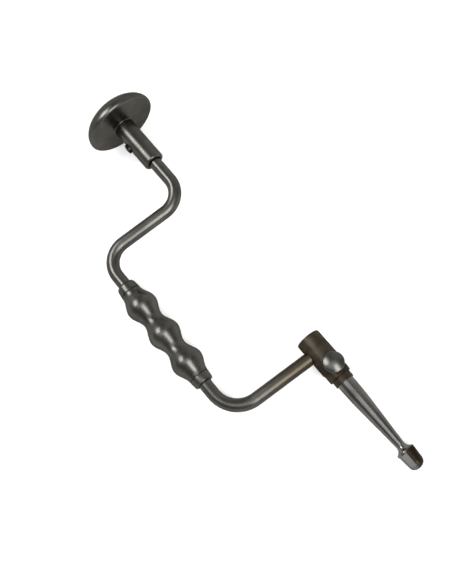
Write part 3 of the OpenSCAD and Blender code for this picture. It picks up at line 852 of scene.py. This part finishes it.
@dataclass
class TurningGrip(Assembly):
    """The grip with its three swellings, and the collars and washers that hold it.

    Attributes:
        axis_y: Where the grip's axis lies along Y.
        lobes: Number of swellings.
        mean_r: Mean radius of the grip.
        wave: How far its radius swells and narrows.
        wave_steps: Steps of the wave along the grip.
        end_steps: Steps of the wave that each end's rounding takes the place of.
        end_round: Radius of that rounding.
        bore_r: Radius of the grip's bore.
        rod_r: Radius of the collars' bore, which is the rod's.
        collar_r: Radius of a collar beside the grip.
        collar_end_r: Radius of a collar where its free end's rounding begins.
        collar_edge: Radius of the rounding beside the grip.
        collar_slope: Slope at which the free end's rounding begins, in degrees.
        upper_round: Radius of the upper collar's free end.
        lower_round: Radius of the lower collar's free end.
    """

    axis_y: float = -77 * MM
    lobes: int = 3
    mean_r: float = 10.1 * MM
    wave: float = 2.1 * MM
    wave_steps: int = 180
    end_steps: int = 3
    end_round: float = 0.4 * MM
    bore_r: float = 6.2 * MM
    rod_r: float = 5.0 * MM
    collar_r: float = 8.0 * MM
    collar_end_r: float = 7.4 * MM
    collar_edge: float = 0.25 * MM
    collar_slope: float = 4.0
    upper_round: float = 2.3 * MM
    lower_round: float = 1.1 * MM

    def sleeve(self) -> bpy.types.Object:
        """The grip: its radius swells and narrows as a cosine along it, narrowest at its ends.

        Returns:
            The grip.
        """
        first, last, _ = extent("grip_sleeve")
        share = np.linspace(0, 1, self.wave_steps + 1)
        radius = self.mean_r - self.wave * np.cos(2 * math.pi * self.lobes * share)
        length = last - first
        wave = np.column_stack([radius, first + share * length])[self.end_steps:-self.end_steps]
        end_r = self.mean_r - self.wave
        profile = outline(
            line((self.bore_r, last), (self.bore_r, first)),
            arc((end_r - self.end_round, first + self.end_round), self.end_round, 270, 360, steps=6),
            wave,
            arc((end_r - self.end_round, last - self.end_round), self.end_round, 0, 90, steps=6),
        )
        return surface_object("grip_handle", turned_grid(profile, AXIS_SIDES, self.axis_y), closed=True)

    def collar(self, name: str, node: str, side: int, end_round: float) -> bpy.types.Object:
        """A collar that tapers to a rounded end.

        Args:
            name: Name of the piece.
            node: The CAD node that it stands for.
            side: -1 where the free end is towards the pad, 1 towards the chuck.
            end_round: Radius of the free end's rounding.

        Returns:
            The collar.
        """
        low, high, _ = extent(node)
        grip_x, end_x = (high, low) if side < 0 else (low, high)
        edge = self.collar_edge
        profile = outline(
            line((self.rod_r, end_x), (self.rod_r, grip_x)),
            arc((self.collar_r - edge, grip_x + side * edge), edge, -90 * side, 0, steps=5),
            arc((self.collar_end_r - end_round, end_x - side * end_round), end_round,
                self.collar_slope * side, 90 * side, steps=14),
        )
        return surface_object(name, turned_grid(profile, AXIS_SIDES, self.axis_y), closed=True)

    def build(self) -> None:
        """Builds the grip and its collars, and dresses the small parts between them."""
        self.finish_piece(self.sleeve(), "grip_sleeve", Body.GRIP, Slot.SATIN_STEEL)
        upper = self.collar("upper_collar_ring", "upper_collar", -1, self.upper_round)
        lower = self.collar("lower_collar_ring", "lower_collar", 1, self.lower_round)
        self.finish_piece(upper, "upper_collar", Body.CRANK, Slot.SATIN_STEEL)
        self.finish_piece(lower, "lower_collar", Body.CRANK, Slot.SATIN_STEEL)
        for node in ("upper_collar_pin", "lower_collar_pin", "upper_washer", "lower_washer"):
            self.dress_node(node, Slot.DARK_STEEL)
        for node in ("upper_grip_bush", "lower_grip_bush"):
            self.dress_node(node, Slot.BRONZE)


@dataclass
class Chuck(Assembly):
    """The chuck's body, the liner at its mouth and the pins that hold and drive.

    Attributes:
        crown_round: Radius of the rounding at the crown.
        pin_r: Radius of the hole over the rod's pin.
        pin_depth: Depth of that hole.
        pin_chamfer: Chamfer of that hole.
        shoulder_chamfer: Chamfer where the body steps down to its nose.
        nose_length: Length of the nose.
        nose_r: Radius of the nose.
        liner_r: Radius of the liner inside the body.
        collar_chamfer: Chamfer of the liner's collar beside the nose.
        shank_r: Radius of the liner's bore.
        mouth_r: Radius of the wide part of the bore at the mouth.
        mouth_depth: Depth of that part.
        edge: Radius of the rounded edges at the mouth.
        seam_width: How far the dark seam round the rod reaches.
        seam_depth: Depth of the seam.
        skin: Depth under the body's surface that still counts as the surface.
        body_sides: Points round the body.
    """

    crown_round: float = 1.3 * MM
    pin_r: float = 1.5 * MM
    pin_depth: float = 3 * MM
    pin_chamfer: float = 0.15 * MM
    shoulder_chamfer: float = 0.2 * MM
    nose_length: float = 7.3 * MM
    nose_r: float = 8.8 * MM
    liner_r: float = 6.4 * MM
    collar_chamfer: float = 0.2 * MM
    shank_r: float = 4.55 * MM
    mouth_r: float = 6.5 * MM
    mouth_depth: float = 3.6 * MM
    edge: float = 0.35 * MM
    seam_width: float = 0.35 * MM
    seam_depth: float = 0.5 * MM
    skin: float = 0.5 * MM
    body_sides: int = 256

    def body(self) -> bpy.types.Object:
        """The chuck: a cylinder with a rounded crown and a reduced nose, hollow at its mouth.

        Round the place where the rod goes in, the surface dips by a bell-shaped amount that
        falls with the distance from the rod's own surface, which makes the dark seam there.

        Returns:
            The body.
        """
        crown_x, mouth_x, radius = extent("chuck_body")
        nose_x = mouth_x - self.nose_length
        floor_x = extent("socket_liner")[0]
        profile = outline(
            line((CENTRE_R, self.pin_depth), (self.pin_r, self.pin_depth)),
            line((self.pin_r, self.pin_depth), (self.pin_r, self.pin_chamfer)),
            line((self.pin_r + self.pin_chamfer, crown_x), (radius - self.crown_round, crown_x), steps=6),
            arc((radius - self.crown_round, crown_x + self.crown_round), self.crown_round, 270, 360,
                steps=10),
            line((radius, crown_x + self.crown_round), (radius, nose_x - self.shoulder_chamfer), steps=150),
            line((radius - self.shoulder_chamfer, nose_x), (self.nose_r, nose_x)),
            line((self.nose_r, nose_x), (self.nose_r, mouth_x - self.edge), steps=16),
            arc((self.nose_r - self.edge, mouth_x - self.edge), self.edge, 0, 90, steps=5),
            line((self.liner_r, mouth_x), (self.liner_r, floor_x)),
            line((self.liner_r, floor_x), (CENTRE_R, floor_x)),
        )
        grid = turned_grid(profile, self.body_sides)
        rod = CrankRod
        toward = np.array([math.sin(rod.lean), math.cos(rod.lean)])
        offset = grid[..., :2] - np.array([rod.lower_arm_x, 0])
        across = offset[..., 0] * toward[1] - offset[..., 1] * toward[0]
        gap = np.hypot(across, grid[..., 2]) - rod.radius
        outer = (np.hypot(grid[..., 1], grid[..., 2]) > radius - self.skin) & (grid[..., 1] < 0)
        dip = np.where(outer, self.seam_depth * np.exp(-(gap / self.seam_width) ** 2), 0)
        scale = 1 - dip / radius
        grid[..., 1] *= scale
        grid[..., 2] *= scale
        return surface_object("chuck_shell", grid)

    def liner(self) -> bpy.types.Object:
        """The liner: a sleeve whose collar stands out of the chuck's mouth.

        Returns:
            The liner.
        """
        floor_x, end_x, collar_r = extent("socket_liner")
        mouth_x = extent("chuck_body")[1]
        seat_x = end_x - self.mouth_depth
        profile = outline(
            line((self.shank_r, seat_x), (self.shank_r, floor_x)),
            line((self.liner_r, floor_x), (self.liner_r, mouth_x)),
            line((collar_r - self.collar_chamfer, mouth_x), (collar_r, mouth_x + self.collar_chamfer)),
            line((collar_r, mouth_x + self.collar_chamfer), (collar_r, end_x - self.edge), steps=10),
            arc((collar_r - self.edge, end_x - self.edge), self.edge, 0, 90, steps=5),
            line((self.mouth_r, end_x), (self.mouth_r, seat_x)),
        )
        return surface_object("socket_mouth_ring", turned_grid(profile, AXIS_SIDES), closed=True)

    def build(self) -> None:
        """Builds the chuck and its liner and dresses the pins."""
        self.finish_piece(self.body(), "chuck_body", Body.CRANK, Slot.BROWN_STEEL)
        self.finish_piece(self.liner(), "socket_liner", Body.CRANK, Slot.BROWN_STEEL)
        for node in ("rod_pin", "drive_pin"):
            self.dress_node(node, Slot.DARK_STEEL)


@dataclass
class SpringCatch(Assembly):
    """The domed knob that is pulled to free the bit, and the catch inside it.

    Distances outwards are taken from the turning axis, along the catch's own axis.

    Attributes:
        knob_r: Radius of the knob.
        knob_out: How far outwards its widest place lies.
        crown: Radius of the ball that its crown is cut from.
        crown_from: Angle of the crown's first point on that ball, in degrees.
        edge: Radius of its rounded edge.
        under_turn: How far the edge turns under, in degrees.
        skirt_r: Radius of the skirt below it.
        skirt_in: How far outwards the skirt begins.
        pocket_r: Radius of the pocket inside it.
        pocket_out: How far outwards the pocket's floor lies.
        at_x: Where the catch's axis crosses the turning axis.
        turn: How far that axis turns from straight up towards +Y.
        travel: How far the knob is pulled.
        spring_in: How far outwards the spring begins.
        spring_out: How far outwards the spring ends.
        coil_r: Radius of the spring, to the middle of its wire.
        wire_r: Radius of the wire.
        coils: Number of turns of the wire.
        coil_steps: Steps of one turn.
        wire_sides: Points round the wire.
    """

    knob_r: float = 7.7 * MM
    knob_out: float = 17.6 * MM
    crown: float = 14.0 * MM
    crown_from: float = 89
    edge: float = 1.0 * MM
    under_turn: float = 60
    skirt_r: float = 5.2 * MM
    skirt_in: float = 10.7 * MM
    pocket_r: float = 4.0 * MM
    pocket_out: float = 16.4 * MM
    at_x: float = 27.6 * MM
    turn: float = math.radians(5.5)
    travel: float = 3.0 * MM
    spring_in: float = 7.7 * MM
    spring_out: float = 14.6 * MM
    coil_r: float = 2.075 * MM
    wire_r: float = 0.225 * MM
    coils: int = 5
    coil_steps: int = 24
    wire_sides: int = 16

    def outward(self) -> np.ndarray:
        """The direction in which the knob is pulled."""
        return np.array([0.0, math.sin(self.turn), math.cos(self.turn)])

    def knob(self) -> bpy.types.Object:
        """The knob: a ball's cap for the crown, a rounded edge, a cone below and a skirt.

        The crown and the edge touch without a corner, so the crown's centre lies as far
        from the edge's centre as their radii differ.

        Returns:
            The knob.
        """
        edge_r = self.knob_r - self.edge
        reach = self.crown - self.edge
        crown_at = self.knob_out - math.sqrt(reach ** 2 - edge_r ** 2)
        turn = math.degrees(math.acos(edge_r / reach))
        cap = arc((0.0, crown_at), self.crown, self.crown_from, turn, steps=50)
        rim = arc((edge_r, self.knob_out), self.edge, turn, -self.under_turn, steps=30)
        steep = math.tan(math.radians(90 - self.under_turn))
        cone_end = rim[-1, 1] - (rim[-1, 0] - self.skirt_r) * steep
        profile = outline(
            cap, rim,
            line((self.skirt_r, cone_end), (self.skirt_r, self.skirt_in)),
            line((self.skirt_r, self.skirt_in), (self.pocket_r, self.skirt_in)),
            line((self.pocket_r, self.skirt_in), (self.pocket_r, self.pocket_out)),
            line((self.pocket_r, self.pocket_out), (CENTRE_R, self.pocket_out)),
        )
        grid = turned_about(turned_grid(profile, SMALL_SIDES), self.outward(), self.at_x)
        return surface_object("catch_button", grid)

    def spring(self) -> bpy.types.Object:
        """The spring: a round wire along a helix about the catch's axis.

        At turn t and angle s round the wire, the point lies coil_r + wire_r cos s from the
        axis, at (sin t, cos t), and wire_r sin s outwards of the wire's middle, which rises
        evenly with t.

        Returns:
            The spring.
        """
        steps = self.coil_steps * self.coils
        turn = np.linspace(0, 2 * math.pi * self.coils, steps + 1)[:, None]
        side = ring_angles(self.wire_sides)[None, :]
        reach = self.coil_r + self.wire_r * np.cos(side)
        middle = np.linspace(self.spring_in + self.wire_r, self.spring_out - self.wire_r, steps + 1)
        out = middle[:, None] + self.wire_r * np.sin(side)
        grid = np.stack([out, reach * np.sin(turn), reach * np.cos(turn)], axis=2)
        return surface_object("catch_coil", turned_about(grid, self.outward(), self.at_x))

    def build(self) -> None:
        """Builds the knob and the spring."""
        self.finish_piece(self.knob(), "catch_knob", Body.CATCH, Slot.KNOB_STEEL)
        spring = self.spring()
        self.finish_piece(spring, "catch_spring", Body.CRANK, Slot.HARD_STEEL)
        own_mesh(spring)
        self.dress_node("catch_guide", Slot.DARK_STEEL)
        self.dress_node("catch_plunger", Slot.HARD_STEEL)


@dataclass
class BurrBit(Assembly):
    """The bit: shank, long taper, neck and fluted head, in one piece of steel.

    Attributes:
        shank_r: Radius of the shank inside the liner.
        shank_chamfer: Chamfer of the shank's end.
        shaft_r: Radius of the shaft where the taper begins.
        blend_r: Radius of the round that leads from the shaft into the taper.
        taper: Slope of the taper.
        neck_r: Radius of the neck.
        neck_from_mouth: Distance from the chuck's mouth to the neck.
        neck_fillet: Radius of the fillet between the neck and the head.
        head_r: Largest radius of the head.
        head_length: Distance from the head's widest place to the tip.
        shoulder_round: Radius of the head's shoulder.
        nose_start_r: Radius of the head where its nose begins.
        nose_round: Radius of the nose.
        tip_r: Radius of the last ring at the tip.
        flutes: Number of flutes.
        flute_depth: Depth of a flute at its corner, where the head is widest.
        flute_width: Width of a flute between its edges.
        flute_lean: Angle of a flute's short side from the radius through the flute's middle.
        flute_start: Distance from the head's widest place to the flutes.
        sharp: Half of the length over which the flutes set in.
        first_flute: Angle of the first flute's middle from straight up, towards +Y.
        uncut_half: Half of the angle that a flute's points take on a ring that it doesn't cut.
        least_half: Least angle from a flute's corner to an edge.
        flat_steps: Steps across a flute's flat side.
        side_steps: Steps across its short side.
        land_steps: Steps across the land between two flutes.
    """

    shank_r: float = 4.5 * MM
    shank_chamfer: float = 0.4 * MM
    shaft_r: float = 6.45 * MM
    neck_r: float = 3.3 * MM
    head_r: float = 6.85 * MM
    nose_start_r: float = 6.2 * MM
    nose_round: float = 5.6 * MM
    neck_fillet: float = 4.7 * MM
    shoulder_round: float = 1.0 * MM
    head_length: float = 14.5 * MM
    neck_from_mouth: float = 56.6 * MM
    taper: float = math.radians(4)
    blend_r: float = 320 * MM
    flutes: int = 5
    flute_depth: float = 1.4 * MM
    flute_width: float = 4.4 * MM
    flute_lean: float = math.radians(55)
    flute_start: float = 1.2 * MM
    sharp: float = 0.02 * MM
    tip_r: float = 0.05 * MM
    first_flute: float = math.radians(45.5)
    uncut_half: float = math.radians(1.5)
    least_half: float = math.radians(1.5) / 9
    flat_steps: int = 12
    side_steps: int = 5
    land_steps: int = 8

    def neck_x(self) -> float:
        """The x of the neck, where the taper ends and the fillet begins."""
        return extent("socket_liner")[1] + self.neck_from_mouth

    def head_slope(self) -> float:
        """How much the head's radius falls for each metre towards the tip."""
        return (self.head_r - self.nose_start_r) / (self.head_length - self.nose_round)

    def head_place(self) -> tuple[np.ndarray, float]:
        """Where the fillet and the head lie.

        Returns:
            The centre of the fillet at the neck, and the x of the head's widest place.
        """
        square = np.array([math.cos(self.taper), math.sin(self.taper)])
        centre = np.array([self.neck_r, self.neck_x()]) + self.neck_fillet * square
        reach = self.neck_fillet + self.shoulder_round
        inward = centre[0] - self.head_r + self.shoulder_round
        return centre, centre[1] + math.sqrt(reach ** 2 - inward ** 2)

    def profile(self) -> np.ndarray:
        """The bit's outline before the flutes are cut.

        Returns:
            The outline, as an array of (distance from the axis, x).
        """
        shank_x = extent("burr_bit")[0]
        seat_x = extent("socket_liner")[1] - Chuck.mouth_depth
        fillet_centre, head_x = self.head_place()
        slope = math.degrees(self.taper)
        corner_x = self.neck_x() - (self.shaft_r - self.neck_r) / math.tan(self.taper)
        blend_x = corner_x - self.blend_r * math.tan(self.taper / 2)
        shoulder_centre = np.array([self.head_r - self.shoulder_round, head_x])
        between = shoulder_centre - fillet_centre
        outward = math.degrees(math.atan2(between[1], between[0]))
        tip_x = head_x + self.head_length
        side = math.degrees(math.atan(self.head_slope()))
        blend = arc((self.shaft_r - self.blend_r, blend_x), self.blend_r, 0, slope, steps=14)
        fillet = arc(tuple(fillet_centre), self.neck_fillet, 180 + slope, outward, steps=26)
        shoulder = arc(tuple(shoulder_centre), self.shoulder_round, outward - 180, side, steps=14)
        nose = arc((self.nose_start_r - self.nose_round, tip_x - self.nose_round), self.nose_round,
                   side, 90, steps=44)
        way = (nose[0] - shoulder[-1]) / (nose[0][1] - shoulder[-1][1])
        before_start = head_x + self.flute_start - self.sharp - shoulder[-1][1]
        start = shoulder[-1] + np.outer([before_start, before_start + 2 * self.sharp], way)
        return outline(
            line((CENTRE_R, shank_x), (self.shank_r - self.shank_chamfer, shank_x)),
            line((self.shank_r, shank_x + self.shank_chamfer), (self.shank_r, seat_x)),
            line((self.shaft_r, seat_x), tuple(blend[0])),
            blend,
            line(tuple(blend[-1]), tuple(fillet[0]), steps=30),
            fillet, shoulder, start,
            line(tuple(start[-1]), tuple(nose[0]), steps=44),
            nose,
            line(tuple(nose[-1]), (self.tip_r, tip_x)),
        )

    def flute(self, profile: np.ndarray) -> tuple[np.ndarray, np.ndarray, np.ndarray]:
        """The flute's two sides at every step of the outline, and the corner between them.

        Seen along the axis with the flute's middle upwards, each side is a straight line,
        given by the direction square to it and its distance from the axis. The corner sinks
        as the side of the head does.

        Args:
            profile: The bit's outline.

        Returns:
            The directions of the two sides, their distances and the corner's direction.
        """
        head_x = self.head_place()[1]
        half = self.flute_width / 2
        sunk = self.head_slope() * np.maximum(profile[:, 1] - head_x - self.flute_start, 0)
        corner_out = self.head_r - self.flute_depth - sunk
        rise = math.sqrt(self.head_r ** 2 - half ** 2) - (self.head_r - self.flute_depth)
        flat_turn = math.atan2(rise, self.flute_width)
        short_turn = self.flute_lean - math.pi / 2
        turns = np.array([flat_turn, short_turn])
        distances = half * np.sin(turns) + corner_out[:, None] * np.cos(turns)
        return turns, distances, np.arctan2(half, corner_out)

    def bit(self) -> bpy.types.Object:
        """The bit, with its flutes.

        Each ring is split into one sector a flute. In a sector, steps always lie on the
        flute's two edges and on its corner. Between the edges the surface follows whichever
        of the flute's two lines is farther out, and outside them the outline.

        Returns:
            The bit.
        """
        profile = self.profile()
        turns, distances, corner = self.flute(profile)
        radius = profile[:, 0]
        opening = np.arccos(np.clip(distances / np.maximum(radius, NOT_ZERO)[:, None], -1, 1))
        first, last = turns[0] - opening[:, 0], turns[1] + opening[:, 1]
        begun = profile[:, 1] > self.head_place()[1] + self.flute_start
        cut = begun & (first < corner) & (corner < last)
        first = np.where(cut, np.minimum(first, corner - self.least_half), corner - self.uncut_half)
        last = np.where(cut, np.maximum(last, corner + self.least_half), corner + self.uncut_half)
        sector = 2 * math.pi / self.flutes
        across_flat = np.linspace(0, 1, self.flat_steps + 1)
        across_side = np.linspace(0, 1, self.side_steps + 1)[1:]
        across_land = np.linspace(0, 1, self.land_steps + 1)[1:-1]
        turn = np.concatenate([
            first[:, None] + (corner - first)[:, None] * across_flat,
            corner[:, None] + (last - corner)[:, None] * across_side,
            last[:, None] + (first + sector - last)[:, None] * across_land,
        ], axis=1)
        lines = distances[:, None] / np.cos(turn[..., None] - turns)
        floor = np.minimum(lines.max(axis=2), radius[:, None])
        in_flute = np.arange(turn.shape[1]) <= self.flat_steps + self.side_steps
        sector_r = np.where(in_flute & cut[:, None], floor, radius[:, None])
        around = np.concatenate([turn + self.first_flute + sector * k for k in range(self.flutes)], axis=1)
        ring_r = np.tile(sector_r, (1, self.flutes))
        x = np.repeat(profile[:, 1:], ring_r.shape[1], axis=1)
        grid = np.stack([x, ring_r * np.sin(around), ring_r * np.cos(around)], axis=2)
        return surface_object("burr_and_shank", grid)

    def build(self) -> None:
        """Builds the bit."""
        self.finish_piece(self.bit(), "burr_bit", Body.CRANK, Slot.BIT_STEEL)


def seen_strength(tree: bpy.types.NodeTree, strength: float) -> bpy.types.NodeSocket:
    """A strength that the camera, clear materials and metal see, and that lights nothing dull.

    Args:
        tree: The node tree to build in.
        strength: What those rays see.

    Returns:
        The socket that holds it.
    """
    path = tree.nodes.new("ShaderNodeLightPath")
    total = 0.0
    for ray in ("Is Camera Ray", "Is Transmission Ray", "Is Glossy Ray"):
        total = multiplied(tree, path.outputs[ray], strength, total)
    return total


@dataclass(frozen=True)
class RestingFloor:
    """The pale floor, which touches the pad's rim, the last swelling of the grip and the head.

    Attributes:
        size: Length of each side.
        albedo: How much of the light it gives back.
        glow: Strength that the camera, clear materials and metal see on top of that.
        roughness: Roughness of its surface.
        rounds: Times that the plane is solved, each from the slopes of the one before.
    """

    size: float = 2.4
    albedo: float = 0.48
    glow: float = 0.5
    roughness: float = 0.9
    rounds: int = 5

    def plane(self) -> tuple[np.ndarray, float]:
        """The plane under the part, as its upward normal and its height along that normal.

        Each support is a disc square to X. The plane's slopes are solved so that it touches
        all three, each at the disc's lowest point along the normal.

        Returns:
            The unit normal and the plane's distance from the origin.
        """
        pad_apex, _, pad_r = extent("pad_dome")
        grip_first, grip_last, grip_r = extent("grip_sleeve")
        bit = BurrBit()
        discs = np.array([
            (pad_apex + PalmPad.dome_height, 0.0, pad_r),
            (grip_last - (grip_last - grip_first) / (2 * TurningGrip.lobes), TurningGrip.axis_y, grip_r),
            (bit.head_place()[1], 0.0, bit.head_r),
        ])
        normal = np.array([0.0, 0.0, 1.0])
        height = 0.0
        for _ in range(self.rounds):
            tilt = math.hypot(normal[1], normal[2]) / normal[2]
            rows = np.column_stack([discs[:, 0], discs[:, 1], -np.ones(3)])
            slope_x, slope_y, height = np.linalg.solve(rows, discs[:, 2] * tilt)
            normal = np.array([slope_x, slope_y, 1.0])
        length = float(np.linalg.norm(normal))
        return normal / length, height / length

    def build(self) -> bpy.types.Object:
        """Builds the floor, with a material that is white to the camera and keeps the shadow.

        Returns:
            The floor.
        """
        normal, height = self.plane()
        turn = Vector(normal).to_track_quat("Z", "Y").to_matrix().to_4x4()
        half = self.size / 2
        corners = [(-half, -half, 0), (half, -half, 0), (half, half, 0), (-half, half, 0)]
        mesh = bpy.data.meshes.new("floor")
        mesh.from_pydata(corners, [], [(0, 1, 2, 3)])
        floor = bpy.data.objects.new("floor", mesh)
        floor.matrix_world = Matrix.Translation(Vector(normal * height)) @ turn
        bpy.context.scene.collection.objects.link(floor)
        material = bpy.data.materials.new("floor_white")
        material.use_nodes = True
        tree = material.node_tree
        shader = tree.nodes["Principled BSDF"]
        shader.inputs["Base Color"].default_value = (self.albedo, self.albedo, self.albedo, 1)
        shader.inputs["Roughness"].default_value = self.roughness
        shader.inputs["Specular IOR Level"].default_value = 0.0
        shader.inputs["Emission Color"].default_value = (1, 1, 1, 1)
        tree.links.new(seen_strength(tree, self.glow), shader.inputs["Emission Strength"])
        mesh.materials.append(material)
        return floor


@dataclass(frozen=True)
class Softbox:
    """A lamp with an even, flat front, which faces the middle of the brace.

    Attributes:
        name: Name of the lamp.
        toward: Direction from the brace to the lamp.
        glow: Brightness of its front, where 1 is white.
        wide: Width of its front, along X as far as it can lie.
        tall: Height of its front.
        distance: Distance from the middle of the brace.
        middle: Where it faces.
    """

    name: str
    toward: tuple[float, float, float]
    glow: float
    wide: float
    tall: float
    distance: float = 1.6
    middle: tuple[float, float, float] = (-0.08, -0.035, 0.0)

    def build(self) -> bpy.types.Object:
        """Builds the lamp, square to the line from the middle of the brace.

        Returns:
            The lamp.
        """
        back = Vector(self.toward).normalized()
        across = (Vector((1, 0, 0)) - back * back.x).normalized()
        up = back.cross(across)
        turn = Matrix((across, up, back)).transposed().to_4x4()
        data = bpy.data.lights.new(self.name, "AREA")
        data.shape = "RECTANGLE"
        data.size, data.size_y = self.wide, self.tall
        data.energy = self.glow * math.pi * self.wide * self.tall
        lamp = bpy.data.objects.new(self.name, data)
        lamp.matrix_world = Matrix.Translation(Vector(self.middle) + back * self.distance) @ turn
        bpy.context.scene.collection.objects.link(lamp)
        return lamp


@dataclass(frozen=True)
class Studio:
    """The camera at the photograph's viewing angle, the lamps, the world and the floor.

    Attributes:
        camera_at: Where the camera stands.
        toward_camera: Direction from the brace back to the camera.
        up_in_picture: Direction that points up in the picture.
        lens: Focal length, in millimetres.
        nearest: Distance from the camera where its view begins.
        world: Strength of the even grey that lights the brace.
        backdrop: Heights in the sky, as the sine of the angle above the horizon, between
            which the white backdrop fades to that grey.
        lamps: The lamps.
    """

    camera_at: tuple[float, float, float] = (0.1167, -0.0438, 0.6597)
    toward_camera: tuple[float, float, float] = (0.2740, -0.0369, 0.9610)
    up_in_picture: tuple[float, float, float] = (-0.7307, 0.6409, 0.2331)
    lens: float = 59.8
    nearest: float = 10 * MM
    world: float = 0.38
    backdrop: tuple[float, float] = (0.25, 0.4)
    lamps: tuple[Softbox, ...] = (
        Softbox("strip_over_crank", (-0.55, -0.33, 0.78), 11.0, 1.15, 0.65),
        Softbox("box_over_bit", (0.61, 0.11, 0.78), 10.4, 1.2, 0.66),
        Softbox("panel_overhead", (0.1, -0.06, 0.99), 2.0, 0.7, 1.55),
        Softbox("panel_far_side", (-0.3, 0.75, 0.55), 0.5, 1.4, 1.3),
    )

    def camera(self) -> bpy.types.Object:
        """Builds the camera and makes it the scene's own.

        Returns:
            The camera.
        """
        back = Vector(self.toward_camera).normalized()
        across = Vector(self.up_in_picture).cross(back).normalized()
        up = back.cross(across)
        turn = Matrix((across, up, back)).transposed().to_4x4()
        data = bpy.data.cameras.new("camera")
        data.lens = self.lens
        data.clip_start = self.nearest
        camera = bpy.data.objects.new("camera", data)
        camera.matrix_world = Matrix.Translation(Vector(self.camera_at)) @ turn
        bpy.context.scene.collection.objects.link(camera)
        bpy.context.scene.camera = camera
        return camera

    def sky(self) -> None:
        """Gives the world one even pale grey as a light, and a white backdrop to look at.

        The camera, clear materials and metal see white up to the backdrop's first height, and
        the even grey from its second height up.
        """
        world = bpy.data.worlds.new("studio")
        world.use_nodes = True
        tree = world.node_tree
        background = tree.nodes["Background"]
        background.inputs["Color"].default_value = (1, 1, 1, 1)
        seen = seen_strength(tree, 1 - self.world)
        parts = tree.nodes.new("ShaderNodeSeparateXYZ")
        tree.links.new(tree.nodes.new("ShaderNodeTexCoord").outputs["Generated"], parts.inputs["Vector"])
        low = ranged(tree, parts.outputs["Z"], self.backdrop, (1.0, 0.0))
        tree.links.new(multiplied(tree, seen, low, self.world), background.inputs["Strength"])
        bpy.context.scene.world = world

    def build(self) -> None:
        """Builds the whole studio."""
        scene = bpy.context.scene
        scene.view_settings.view_transform = "Standard"
        self.camera()
        self.sky()
        RestingFloor().build()
        for lamp in self.lamps:
            lamp.build()
        log.info("studio with %d lamps", len(self.lamps))


def main() -> None:
    """Builds the studio and every part of the brace, in order."""
    logging.basicConfig(level=logging.INFO, format="%(name)s: %(message)s")
    Studio().build()
    for assembly in (PalmPad(), CrankRod(), TurningGrip(), Chuck(), SpringCatch(), BurrBit()):
        assembly.build()
        log.info("%s: %d new pieces", type(assembly).__name__, len(assembly.made))


if __name__ == "__main__":
    main()
